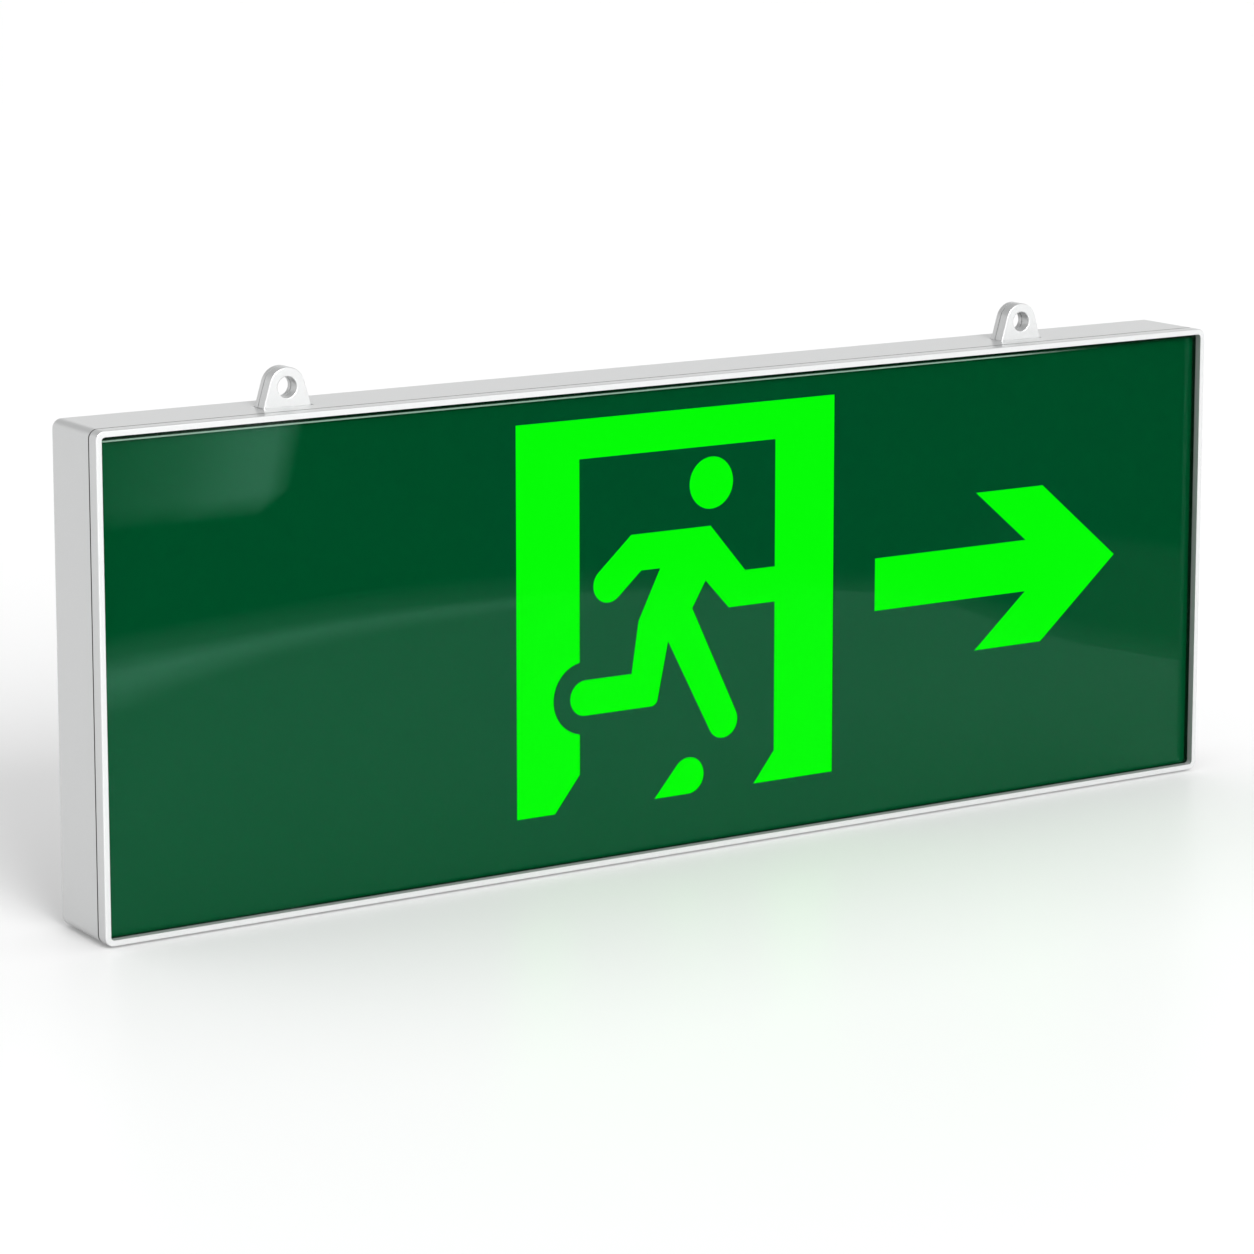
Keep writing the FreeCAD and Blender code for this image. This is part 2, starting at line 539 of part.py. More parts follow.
def light_box():
    door_screws, arrow_screws = tray_screw_places()
    flange = block("tray_rim", ("tray_left", "glow_back", "tray_low"),
                   ("tray_right - tray_left", "tray_wall", "tray_high - tray_low"))
    outer = [cavity(kind + "_tub", kind, "tray_wall") for kind in ("door", "arrow")]
    inner = [cavity(kind + "_light", kind, "0") for kind in ("door", "arrow")]
    holes = [rod("tray_hole", (x, "tray_floor - 1", z), SMALL_HOLE, "tray_wall + 2")
             for x, z in door_screws + arrow_screws]
    holes += [rod("lead_hole", (x, "tray_floor - 1", "lead_z"), "3 * lead_radius", "tray_wall + 2")
              for x in lead_hole_places()]
    node("reflector_tray", cut("tray_shell", fuse("tray_blank", [flange, *outer]), inner + holes))
    for kind, screws in (("door", door_screws), ("arrow", arrow_screws)):
        low = (f"{kind}_cavity_left + {BOARD_MARGIN}", "led_board_front",
               f"{kind}_cavity_low + {BOARD_MARGIN}")
        wide = f"{kind}_cavity_right - {kind}_cavity_left - 2 * {BOARD_MARGIN}"
        tall = f"{kind}_cavity_high - {kind}_cavity_low - 2 * {BOARD_MARGIN}"
        plate = block(kind + "_led_plate", low, (wide, "led_board_thickness", tall))
        drilled = [rod("board_hole", (x, "led_board_front - 1", z), SMALL_HOLE, "led_board_thickness + 2")
                   for x, z in screws]
        node("led_board_" + kind, cut(kind + "_led_board", plate, drilled))
        node("leds_" + kind, solid(kind + "_leds", Part.makeCompound(led_grid(kind, screws))))
    places = [(x, "led_board_front - small_head_height", z) for x, z in door_screws + arrow_screws]
    node("tray_screws", small_screws("tray_screw_set", places, "back - back_skin - led_board_front"))


def led_grid(kind, screws):
    """Rows of lamp packages spread evenly over a board, none of them on a screw head."""
    margin, pitch = number("tray_draft + led_margin"), number("led_pitch")
    clear = number("small_head_radius + led_width / 2 + led_screw_gap")
    west, east = number(f"{kind}_cavity_left") + margin, number(f"{kind}_cavity_right") - margin
    low, high = number(f"{kind}_cavity_low") + margin, number(f"{kind}_cavity_high") - margin
    columns, rows = round((east - west) / pitch), round((high - low) / pitch)
    taken = [(number(x), number(z)) for x, z in screws]
    lamps = []
    for column in range(columns):
        for row in range(rows):
            x = west + (column + 0.5) * (east - west) / columns
            z = low + (row + 0.5) * (high - low) / rows
            if all(math.hypot(x - a, z - b) > clear for a, b in taken):
                lamps.append(lamp_package(x, z))
    return lamps


def lamp_package(x, z):
    wide, tall, rise = number("led_width"), number("led_height"), number("led_rise")
    face = number("led_board_front")
    return Part.makeBox(wide, rise, tall, Vector(x - wide / 2, face - rise, z - tall / 2))


# ---- screws --------------------------------------------------------------------------------------

def revolved(outline, axis):
    """A solid turned from a closed outline about a line through the origin."""
    wire = Part.Wire(Part.__sortEdges__([edge.toShape() for edge in outline]))
    return Part.Face(wire).revolve(Vector(), axis, 360)


def screw_shape(radius, head_radius, head_height, length):
    """A pan-head self-tapping screw with a cross recess, head down at the origin, point along +Z."""
    point_length = 1.2 * radius
    crown = Vector(-0.72 * head_radius, 0, 0.22 * head_height)
    body = revolved(drawn([
        Vector(), (crown, Vector(-head_radius, 0, head_height)), Vector(-radius, 0, head_height),
        Vector(-radius, 0, head_height + length - point_length), Vector(0, 0, head_height + length)]),
        Vector(0, 0, 1))
    arm, slot, deep = head_radius, 0.2 * head_radius, 0.75 * head_height
    across = Part.makeBox(arm, slot, deep, Vector(-arm / 2, -slot / 2, 0))
    along = Part.makeBox(slot, arm, deep, Vector(-slot / 2, -arm / 2, 0))
    return body.cut(across.fuse(along))


def screws_at(name, places, sizes, turn):
    """Copies of one screw; each place is where the top of its head lies."""
    blank = screw_shape(*[number(size) for size in sizes])
    copies = []
    for place in places:
        spot = Placement(Vector(*[number(part) for part in place]), turn)
        copies.append(blank.transformed(spot.toMatrix()))
    return solid(name, Part.makeCompound(copies))


def small_screws(name, places, length):
    """The small self-tapping screws, all driven from the front."""
    sizes = ("small_screw_radius", "small_head_radius", "small_head_height", length)
    return screws_at(name, places, sizes, POINT_BACK)


# ---- rear case -----------------------------------------------------------------------------------

OVERLAP = "0.1"          # how far an added rib or boss runs into the wall it stands on


def rear_case():
    body = doc.addObject("PartDesign::Body", "case_shell")
    middle = ("0", "case_height / 2")
    outside = sketch(body, "case_outline", middle, "-back")
    rectangle(outside, "outer", "case_width", "case_height", "corner_radius")
    feature(body, "Pad", "case_block", outside, "back - rim")
    round_edges(body, "back_edge", "back_edge_radius", lambda edge: at_y(edge, "back"))
    inside = sketch(body, "inside_outline", middle, "-rim")
    rectangle(inside, "inner", "case_width - 2 * wall", "case_height - 2 * wall")
    feature(body, "Pocket", "inside", inside, "back_inner - rim")
    rebate = sketch(body, "rebate_outline", middle, "-rim")
    rectangle(rebate, "rebate", "case_width - 2 * rim_thickness", "case_height - 2 * rim_thickness",
              "corner_radius - rim_thickness")
    feature(body, "Pocket", "rebate", rebate, "rebate_floor - rim")
    added = [*screw_bosses(), *ear_guides(-1), *ear_guides(1), *panel_ribs()]
    removed = [*screw_holes(), *keyhole(-1), *keyhole(1), *entry_hole(), *end_panel_holes(), *ear_slots()]
    node("rear_case", cut("case", fuse("case_with_bosses", [body, *added]), removed))


def screw_bosses():
    bosses = [rod("corner_boss", (x, "boss_top", z), "boss_radius", f"back_inner - boss_top + {OVERLAP}")
              for x, z in corners()]
    bosses += [rod("standoff_post", (x, "board_back", z), "standoff_radius", f"standoff + {OVERLAP}")
               for x, z in board_holes()]
    door, arrow = tray_screw_places()
    bosses += [rod("tray_boss", (x, "tray_back", z), "standoff_radius", f"back_inner - tray_back + {OVERLAP}")
               for x, z in door + arrow]
    return bosses


def screw_holes():
    holes = []
    for x, z in corners():
        holes.append(rod("head_well", (x, "seat", z), "screw_head_radius + screw_head_gap", "screw_seat + 1"))
        holes.append(rod("screw_way", (x, "boss_top - 1", z), "screw_radius + 2 * screw_gap",
                         "seat - boss_top + 2"))
    door, arrow = tray_screw_places()
    for x, z in door + arrow + board_holes():
        holes.append(rod("blind_hole", (x, "board_back - 1", z), SMALL_HOLE, "blind_end - board_back + 1"))
    for x in clip_places():
        holes.append(rod("clip_hole", (x, "back_inner - 1", "clip_screw_z"), SMALL_HOLE,
                         "blind_end - back_inner + 1"))
    return holes


def ear_x(side):
    return f"({side} * ear_offset)"


def ear_slots():
    half = "(ear_width / 2 + slot_side_gap)"
    return [block("ear_slot", (f"{ear_x(side)} - {half}", "rail_front", "top_inner - 1"),
                  (f"2 * {half}", "ear_thickness + 2 * ear_gap", "wall + 2")) for side in (-1, 1)]


def ear_guides(side):
    """Rails, back ribs and a stop that a hanger tab slides between, and their screw holes."""
    middle, low = ear_x(side), "stop_top - rail_rib"
    tall, deep = f"top_inner - {low} + {OVERLAP}", f"back_inner - rail_front + {OVERLAP}"
    rails = [block("ear_rail", (f"{middle} + {start}", "rail_front", low), ("rail_wall", deep, tall))
             for start in ("rail_half", "(-rail_half - rail_wall)")]
    ribs = [block("ear_rib", (f"{middle} + {start}", "ear_back + ear_gap", low),
                  ("rail_rib", f"back_inner - ear_back - ear_gap + {OVERLAP}", tall))
            for start in ("ear_width / 4", "(-ear_width / 4 - rail_rib)")]
    stop = block("ear_stop", (f"{middle} - rail_half", "rail_front", low),
                 ("2 * rail_half", deep, "rail_rib"))
    drilled = [rod("keeper_pilot", (x, "rail_front - 1", z), SMALL_HOLE, "1 + keeper_bite + 1.5")
               for x, z in keeper_screw_places(side)]
    return [cut("ear_rails", fuse("ear_guide", [*rails, stop]), drilled), *ribs]


def keeper_screw_places(side):
    reach, height = "(rail_half + rail_wall / 2)", "(stop_top + top_inner) / 2"
    return [(f"{ear_x(side)} {way} {reach}", height) for way in ("-", "+")]


def keyhole(side):
    """A hole for a screw head, and a slot above it for the shank."""
    x = f"({side} * keyhole_x)"
    start, deep = "back_inner - 0.5", "back_wall + 1"
    return [rod("keyhole_head", (x, start, "keyhole_z"), "keyhole_radius", deep),
            block("keyhole_neck", (f"{x} - keyhole_slot / 2", start, "keyhole_z"),
                  ("keyhole_slot", deep, "keyhole_rise")),
            rod("keyhole_top", (x, start, "keyhole_z + keyhole_rise"), "keyhole_slot / 2", deep)]


def entry_hole():
    """The mains entry: a hole and, round it, a shallow well that the grommet's flange lies in."""
    way = rod("entry_way", ("entry_x", "back_inner - 1", "entry_z"), "entry_radius", "back_wall + 2")
    well = rod("entry_well", ("entry_x", "back - grommet_recess", "entry_z"), "grommet_flange + fit_gap",
               "grommet_recess + 1")
    return [way, well]


def lamp_heights():
    return [f"lamp_low + {count} * indicator_pitch" for count in range(3)]


def end_panel_holes():
    """Holes through the right-hand end wall for the indicator lamps and the button in its dish."""
    start, deep = "right - wall - 0.5", "wall + 1"
    holes = [rod("lamp_hole", (start, "0", z), "indicator_radius + indicator_gap", deep, ALONG_X)
             for z in lamp_heights()]
    button = rod("button_hole", (start, "0", "panel_height"), "button_radius + button_gap", deep, ALONG_X)
    dish = rod("button_dish", ("right - dish_depth", "0", "panel_height"), "dish_radius", "dish_depth + 1",
               ALONG_X)
    return [*holes, button, dish]


def panel_ribs():
    """Ribs on the case's back that hold the ends of the upright panel board."""
    return [block("panel_rib", (start, "panel_rib_front", z),
                  ("rail_rib", f"back_inner - panel_rib_front + {OVERLAP}", "panel_rib_height"))
            for start in ("panel_board_left - rail_rib - fit_gap", "panel_board_right + fit_gap")
            for z in ("panel_low", "panel_high - panel_rib_height")]


# ---- hanger tabs ---------------------------------------------------------------------------------

def tab_outline(inset):
    """The tab seen from the front, about its hole; inset draws the groove's narrower core."""
    half, radius = number("ear_width / 2") - inset, number("ear_top_radius") - inset
    hole = number("ear_hole_radius") + inset
    shoulder, root = -number("ear_hole_height"), -number("ear_hole_height + wall + 0.5")
    left, right = Vector(-half, shoulder), Vector(half, shoulder)
    edges = drawn([Vector(-half, root), left, *cap(left, Vector(), radius, right), right, Vector(half, root)])
    return [*edges, Part.Circle(Vector(), Vector(0, 0, 1), hole)]


def hanger_tab(side, name):
    """A moulded eye with a parting groove all round, and a wide foot that stops under the top wall."""
    body = doc.addObject("PartDesign::Body", name + "_eye")
    groove_front, groove_back = (f"(ear_front + ear_front_layer {way} ear_groove_width / 2)"
                                 for way in ("-", "+"))
    layers = [("rear_layer", "ear_back", f"ear_back - {groove_back}", 0),
              ("core", f"{groove_back} + {OVERLAP}", f"ear_groove_width + 2 * {OVERLAP}",
               number("ear_groove_depth")),
              ("front_layer", groove_front, f"{groove_front} - ear_front", 0)]
    for layer, line, thickness, inset in layers:
        drawing = sketch(body, layer + "_outline", (ear_x(side), "ear_hole_z"), f"-({line})")
        drawing.addGeometry(tab_outline(inset), False)
        feature(body, "Pad", layer, drawing, thickness)
    for face in ("ear_front", "ear_back"):
        round_edges(body, face + "_round", "ear_edge_radius", lambda edge, line=face: at_y(edge, line))
    corner = (f"{ear_x(side)} - ear_foot_width / 2", "ear_front", "top_inner - ear_foot_height")
    foot = block(name + "_foot", corner, ("ear_foot_width", "ear_thickness", "ear_foot_height"))
    return fuse(name + "_tab", [body, foot])


def keeper_plate(side, name):
    """The plate screwed over the front of a tab's rails."""
    low = (f"{ear_x(side)} - rail_half - rail_wall", "rail_front - keeper_thickness", "stop_top - rail_rib")
    plate = block(name + "_blank", low, ("2 * (rail_half + rail_wall)", "keeper_thickness",
                                         "top_inner - stop_top + rail_rib - flush_gap"))
    drilled = [rod("keeper_hole", (x, "rail_front - keeper_thickness - 1", z), SMALL_HOLE,
                   "keeper_thickness + 2") for x, z in keeper_screw_places(side)]
    return cut(name + "_plate", plate, drilled)


def ears():
    places = []
    for side, word in ((-1, "left"), (1, "right")):
        node("hanger_" + word, hanger_tab(side, "hanger_" + word))
        node("keeper_" + word, keeper_plate(side, "keeper_" + word))
        places += [(x, "rail_front - keeper_thickness - small_head_height", z)
                   for x, z in keeper_screw_places(side)]
    node("keeper_screws", small_screws("keeper_screw_set", places, "keeper_thickness + keeper_bite"))


# ---- back: case screws and cable grommet ---------------------------------------------------------

def back_fittings():
    places = [(x, "seat + screw_head_height", z) for x, z in corners()]
    length = "seat - boss_top + screw_bite - screw_end_gap"
    sizes = ("screw_radius", "screw_head_radius", "screw_head_height", length)
    node("case_screws", screws_at("case_screw_set", places, sizes, POINT_FRONT))
    rings = [("outer_ring", "back - grommet_recess", "grommet_flange", "grommet_recess - grommet_set"),
             ("neck_ring", "back_inner", "entry_radius - fit_gap", "back_wall - grommet_recess"),
             ("inner_ring", "back_inner - grommet_lip", "grommet_flange - 1", "grommet_lip")]
    parts = [rod(name, ("entry_x", start, "entry_z"), radius, length)
             for name, start, radius, length in rings]
    bore = rod("grommet_way", ("entry_x", "back_inner - 3", "entry_z"), "grommet_bore", "back_wall + 5")
    node("cable_grommet", cut("grommet", fuse("grommet_rings", parts), [bore]))


# ---- driver board --------------------------------------------------------------------------------

def board_holes():
    inset = "board_hole_inset"
    return [(x, z) for x in (f"board_left + {inset}", f"board_right - {inset}")
            for z in (f"board_base + {inset}", f"board_base + board_height - {inset}")]


def on_board(along, up):
    """A point of the board's component face, from its lower left corner."""
    return f"(board_left + {along})", f"(board_base + {up})"


def raised(name, along, up, size, lift="0"):
    """A box standing on the board: its width, its height off the board and its length up the board."""
    x, z = on_board(along, up)
    return block(name, (x, f"board_front - {lift} - {size[1]}", z), size)


def driver_gear():
    plate = block("board_plate", ("board_left", "board_front", "board_base"),
                  ("board_width", "board_thickness", "board_height"))
    drilled = [rod("board_drill", (x, "board_front - 1", z), SMALL_HOLE, "board_thickness + 2")
               for x, z in board_holes()]
    node("driver_board", cut("board", plate, drilled))
    places = [(x, "board_front - small_head_height", z) for x, z in board_holes()]
    node("board_screws", small_screws("board_screw_set", places, "back - back_skin - board_front"))
    core = raised("core", "core_along", "core_up", ("core_width", "core_height", "core_length"), "core_lift")
    bobbin = raised("bobbin", "bobbin_along", "bobbin_up", ("bobbin_width", "bobbin_height", "bobbin_length"))
    node("transformer", fuse("transformer_body", [core, bobbin]))
    node("capacitors", solid("capacitor_cans", Part.makeCompound([capacitor(*row) for row in CAPACITORS])))
    node("mains_terminal", terminal())
    node("fuse", fuse_link())
    node("fuse_clips", solid_group("fuse_clip_pair", [fuse_clip(start) for start in fuse_clip_places()]))
    edge = "board_width - socket_width - 1"
    sockets = [
        raised("battery_socket", "board_width - battery_socket_inset", "battery_socket_up",
               ("battery_socket_width", "socket_rise", "socket_width")),
        raised("lamp_socket", edge, "lamp_socket_up",
               ("socket_width", "socket_rise", "lamp_socket_length")),
        raised("panel_socket", edge, "panel_socket_up",
               ("socket_width", "socket_rise", "panel_socket_length"))]
    node("board_sockets", solid_group("sockets", sockets))


# Capacitors: how far along the board and up it, and how much smaller than the largest.
CAPACITORS = [(42, 10, 0), (42, 19, 0.8), (42, 27.5, 1.4)]


def capacitor(along, up, shrink):
    """A can standing on the board, its far rim rounded."""
    x, z = on_board(along, up)
    height = number("capacitor_height") - shrink
    can = Part.makeCylinder(number("capacitor_radius") - shrink, height,
                            Vector(number(x), number("board_front"), number(z)), Vector(0, -1, 0))
    far_rim = [edge for edge in can.Edges if edge.BoundBox.YMax < number("board_front") - height / 2]
    return can.makeFillet(number("capacitor_bevel"), far_rim)


def terminal():
    """A three-way screw terminal: a screw well from the front and a wire mouth from the top, each way."""
    block_body = raised("terminal_block", "terminal_along", "board_height - terminal_drop",
                        ("terminal_width", "terminal_height", "terminal_length"))
    wells = []
    for way in range(3):
        x, z = on_board(f"terminal_along + terminal_width * {2 * way + 1} / 6",
                        "board_height - terminal_drop + terminal_length / 2")
        wells.append(rod("terminal_well", (x, "board_front - terminal_height - 1", z), "terminal_well",
                         "1 + well_depth"))
        mouth = (f"{x} - wire_mouth / 2", "board_front - mouth_rise - wire_mouth", f"{z} + 2")
        wells.append(block("wire_mouth", mouth, ("wire_mouth", "wire_mouth", "terminal_length / 2")))
    return cut("terminal", block_body, wells)


def fuse_line():
    """Where the fuse's left end lies."""
    x, z = on_board("fuse_along", "board_height - fuse_drop")
    return x, "board_front - fuse_radius - fuse_lift", z


def fuse_link():
    x, y, z = fuse_line()
    tube_body = rod("fuse_glass", (x, y, z), "fuse_radius - fuse_glass_step", "fuse_length", ALONG_X)
    caps = [rod("fuse_cap", (end, y, z), "fuse_radius", "fuse_cap", ALONG_X)
            for end in (x, f"{x} + fuse_length - fuse_cap")]
    return fuse("fuse_link", [tube_body, *caps])


def fuse_clip_places():
    x = fuse_line()[0]
    return [f"({x} + fuse_clip_inset)", f"({x} + fuse_length - fuse_clip_inset - fuse_clip_width)"]


def fuse_clip(start):
    """A block with a round seat that the fuse's cap presses into from the front."""
    _, axis, z = fuse_line()
    half = "(fuse_radius + fuse_clip_wall)"
    cradle = block("clip_block", (start, f"{axis} - fuse_lift", f"{z} - {half}"),
                   ("fuse_clip_width", "fuse_radius + 2 * fuse_lift", f"2 * {half}"))
    seat = rod("clip_round", (f"{start} - 1", axis, z), "fuse_radius + fuse_seat_gap",
               "fuse_clip_width + 2", ALONG_X)
    mouth_half = "(fuse_radius - fuse_clip_wall)"
    mouth = block("clip_mouth", (f"{start} - 1", f"{axis} - fuse_radius", f"{z} - {mouth_half}"),
                  ("fuse_clip_width + 2", "fuse_radius", f"2 * {mouth_half}"))
    return cut("fuse_clip", cradle, [seat, mouth])


def solid_group(name, pieces):
    """Like pieces kept together as one node of separate solids."""
    group = doc.addObject("Part::Compound", name)
    group.Links = pieces
    return group


# ---- battery pack --------------------------------------------------------------------------------

def clip_places():
    return ["(battery_left + clip_inset)", "(battery_left + battery_length - clip_inset - clip_width)"]


def battery():
    """Two cells end to end in one shrunk sleeve, in two clips."""
    radius, half = number("cell_radius"), number("cell_length")
    waist, edge = number("cell_waist"), number("cell_edge")
    near = (Vector(radius - 0.3 * edge, 0, 0.3 * edge), Vector(radius, 0, edge))
    far = (Vector(radius - 0.3 * edge, 0, 2 * half - 0.3 * edge), Vector(radius - edge, 0, 2 * half))
    outline = drawn([Vector(), Vector(radius - edge, 0, 0), near, Vector(radius, 0, half - edge),
                     Vector(radius - waist, 0, half), Vector(radius, 0, half + edge),
                     Vector(radius, 0, 2 * half - edge), far, Vector(0, 0, 2 * half)])
    pack = solid("battery_sleeve", revolved(outline, Vector(0, 0, 1)))
    pack.Placement = Placement(Vector(), ALONG_X)
    bind(pack, Placement__Base__x="battery_left", Placement__Base__y="battery_y",
         Placement__Base__z="battery_z")
    node("battery_pack", pack)
    node("battery_clips", solid_group("clip_pair", [battery_clip(x) for x in clip_places()]))
    places = [(x, "back_inner - clip_wall - small_head_height", "clip_screw_z") for x in clip_places()]
    node("clip_screws", small_screws("clip_screw_set", places, "clip_wall + back_wall - back_skin"))


def battery_clip(x):
    """A sprung C round the pack, on a foot screwed to the case's back."""
    west, inner = f"({x} - clip_width / 2)", "(cell_radius + clip_gap)"
    outer = f"({inner} + clip_wall)"
    ring = rod("clip_ring", (west, "battery_y", "battery_z"), outer, "clip_width", ALONG_X)
    foot = block("clip_foot", (west, "back_inner - clip_wall", "battery_z"),
                 ("clip_width", "clip_wall", "clip_screw_z + clip_foot_rise - battery_z"))
    bore = rod("clip_bore", (f"{west} - 1", "battery_y", "battery_z"), inner, "clip_width + 2", ALONG_X)
    mouth_low = (f"{west} - 1", f"battery_y - {outer} - 1", "battery_z - 0.8 * cell_radius")
    mouth = block("clip_opening", mouth_low,
                  ("clip_width + 2", "0.55 * cell_radius + 1 + clip_wall", "1.6 * cell_radius"))
    hole = rod("clip_drill", (x, "back_inner - clip_wall - 1", "clip_screw_z"), SMALL_HOLE, "clip_wall + 2")
    return cut("battery_clip", fuse("clip_form", [ring, foot]), [bore, mouth, hole])


# ---- test button and indicator panel -------------------------------------------------------------

def end_panel():
    plate = block("panel_plate", ("panel_board_left", "panel_front", "panel_low"),
                  ("panel_board_thickness", "back_inner - panel_front", "panel_high - panel_low"))
    node("panel_board", plate)
    node("indicator_lamps", solid("lamp_set", Part.makeCompound([lamp(z) for z in lamp_heights()])))
    body = block("switch_box", ("panel_board_right", "-switch_width / 2", "panel_height - switch_width / 2"),
                 ("switch_height", "switch_width", "switch_width"))
    plunger_end = "switch_face - plunger_depth"
    well = rod("switch_well", (f"{plunger_end} - button_travel - button_gap", "0", "panel_height"),
               "plunger_radius + button_gap", "switch_height", ALONG_X)
    node("push_switch", cut("switch_body", body, [well]))
    node("switch_plunger", rod("plunger_rod", (plunger_end, "0", "panel_height"), "plunger_radius",
                               f"flange_left - ({plunger_end})", ALONG_X))
    middle = ("flange_left", "0", "panel_height")
    face = rod("button_stem", middle, "button_radius", "button_face - flange_left", ALONG_X)
    disc = rod("button_disc", middle, "button_flange", "button_flange_thickness", ALONG_X)
    node("test_button", fuse("button_cap", [face, disc]))


def lamp(z):
    """An indicator lamp on two legs, its dome in the end wall."""
    radius, rim = number("indicator_radius"), number("indicator_radius + lamp_collar")
    collar = number("right - wall - lamp_collar_height") - number("lamp_collar_gap")
    collar_end, foot = collar + number("lamp_collar_height"), number("panel_board_right")
    tip = number("button_face")
    shoulder = tip - radius
    crown = Vector(shoulder + radius * math.sqrt(0.5), radius * math.sqrt(0.5), 0)
    bulb = revolved(drawn([
        Vector(collar, 0, 0), Vector(collar, rim, 0), Vector(collar_end, rim, 0),
        Vector(collar_end, radius, 0), Vector(shoulder, radius, 0), (crown, Vector(tip, 0, 0))]),
        Vector(1, 0, 0))
    leg, pitch = number("lamp_leg"), number("lamp_leg_pitch")
    legs = [Part.makeBox(collar - foot + leg / 4, leg, leg, Vector(foot, middle - leg / 2, -leg / 2))
            for middle in (-pitch / 2, pitch / 2)]
    whole = bulb.fuse(legs)
    whole.translate(Vector(0, 0, number(z)))
    return whole


# ---- leads held inside the case ------------------------------------------------------------------

def lead_hole_places():
    """Where the lamp leads pass the tray's floor, behind the boards."""
    inset = f"({SCREW_MARGIN} + lead_hole_inset)"
    return [f"door_cavity_left + {inset}", f"door_cavity_right - {inset}", f"arrow_cavity_left + {inset}"]


def tube(points, radius, bend):
    """A round lead along straight runs joined by tangent arcs."""
    points = [Vector(*[number(part) for part in point]) for point in points]
    edges, start = [], points[0]
    for before, corner, after in zip(points, points[1:], points[2:]):
        back, on = (before - corner).normalize(), (after - corner).normalize()
        half = back.getAngle(on) / 2
        run = bend / math.tan(half)
        entry, leave = corner + back * run, corner + on * run
        centre = corner + (back + on).normalize() * (bend / math.sin(half))
        middle = centre + (corner - centre).normalize() * bend
        edges += [Part.LineSegment(start, entry).toShape(), Part.Arc(entry, middle, leave).toShape()]
        start = leave
    edges.append(Part.LineSegment(start, points[-1]).toShape())
    path = Part.Wire(edges)
    profile = Part.Wire(Part.Circle(points[0], (points[1] - points[0]).normalize(), radius).toShape())
    lead = path.makePipeShell([profile], True, False)
    expected = math.pi * radius ** 2 * path.Length
    if abs(lead.Volume - expected) > 0.02 * expected:
        raise RuntimeError("a lead's tube lost volume")
    return lead


def wire_pair(name, route, bend="3 * lead_radius"):
    """Two leads side by side; route gives the stops of a lead set off by some distance."""
    offsets = ("(-lead_pitch / 2)", "(lead_pitch / 2)")
    pair = [tube(route(offset), number("lead_radius"), number(bend)) for offset in offsets]
    node(name, solid(name + "_pair", Part.makeCompound(pair)))


def battery_route(offset):
    """Up from the pack's sleeve to the socket at the board's foot."""
    start = f"battery_left + battery_length - battery_lead_inset + {offset}"
    end = f"board_right - battery_socket_inset + battery_socket_width / 2 + {offset}"
    return [(start, "battery_y", "battery_top"), (start, "battery_y", "battery_top + battery_lead_rise"),
            (end, "socket_y", "battery_top + 2 * battery_lead_rise"),
            (end, "socket_y", "board_base + battery_socket_up")]


def lamp_route(offset):
    """From the lamp socket, down behind the tray and through its floor to the door's board."""
    edge, height = "board_right - 1", f"board_base + lamp_socket_up + lamp_socket_length / 2 + {offset}"
    west, rise = lead_hole_places()[0], f"lead_z + {offset}"
    bend = f"{edge} + lamp_lead_run"
    return [(edge, "socket_y", height), (bend, "socket_y", height), (bend, "lead_y", rise),
            (west, "lead_y", rise), (west, "tray_floor", rise)]


def link_route(offset):
    """From the door's board across to the arrow's board."""
    _, east, arrow = lead_hole_places()
    rise = f"lead_z + {offset}"
    return [(east, "tray_floor", rise), (east, "lead_y", rise), (arrow, "lead_y", rise),
            (arrow, "tray_floor", rise)]


def cable_route():
    """From the panel board down, along the foot of the case, and up to the driver board."""
    lamps_end, low = "panel_height + 2 * panel_board_margin", "wall + cable_radius + cable_floor_gap"
    cable_y = "back_inner - cable_radius - cable_gap"
    socket = "board_base + panel_socket_up + panel_socket_length / 2"
    turn_x, rise_x = "panel_board_left - cable_panel_run", "board_right + cable_board_run"
    return [("panel_board_left", "0", lamps_end), (turn_x, "0", lamps_end), (turn_x, cable_y, "panel_height"),
            (turn_x, cable_y, low), (rise_x, cable_y, low), (rise_x, cable_y, "board_base + cable_up"),
            (rise_x, "socket_y", socket), ("board_right - 1", "socket_y", socket)]


def leads():
    wire_pair("battery_leads", battery_route)
    wire_pair("lamp_leads", lamp_route, "1.5 * lead_radius")
    wire_pair("link_leads", link_route, "1.5 * lead_radius")
    cable = tube(cable_route(), number("cable_radius"), number("3 * cable_radius"))
    node("panel_cable", solid("panel_lead", cable))


# ---- build, check and write ----------------------------------------------------------------------

sheet = make_sheet()
lines, probe = make_lines()
rear_case()
front_bezel()
front_stack()
light_box()
ears()
back_fittings()
driver_gear()
battery()
end_panel()
leads()
doc.recompute()

for thing in doc.Objects:
    if "Invalid" in thing.State or "Error" in thing.State:
        raise RuntimeError(f"{thing.Label} did not compute")
for piece in nodes:
    if piece.Shape.isNull() or not piece.Shape.isValid() or not piece.Shape.Solids:
        raise RuntimeError(f"{piece.Label} has no sound solid")

os.makedirs("parts", exist_ok=True)
for piece in nodes:
    piece.Shape.exportStep(f"parts/{piece.Label}.step")
    box = piece.Shape.BoundBox
    print(f"{piece.Label:18} solids {len(piece.Shape.Solids):2}  volume {piece.Shape.Volume:10.1f}  "
          f"x {box.XMin:8.2f} {box.XMax:8.2f}  y {box.YMin:7.2f} {box.YMax:7.2f}  "
          f"z {box.ZMin:7.2f} {box.ZMax:7.2f}")
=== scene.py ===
import math

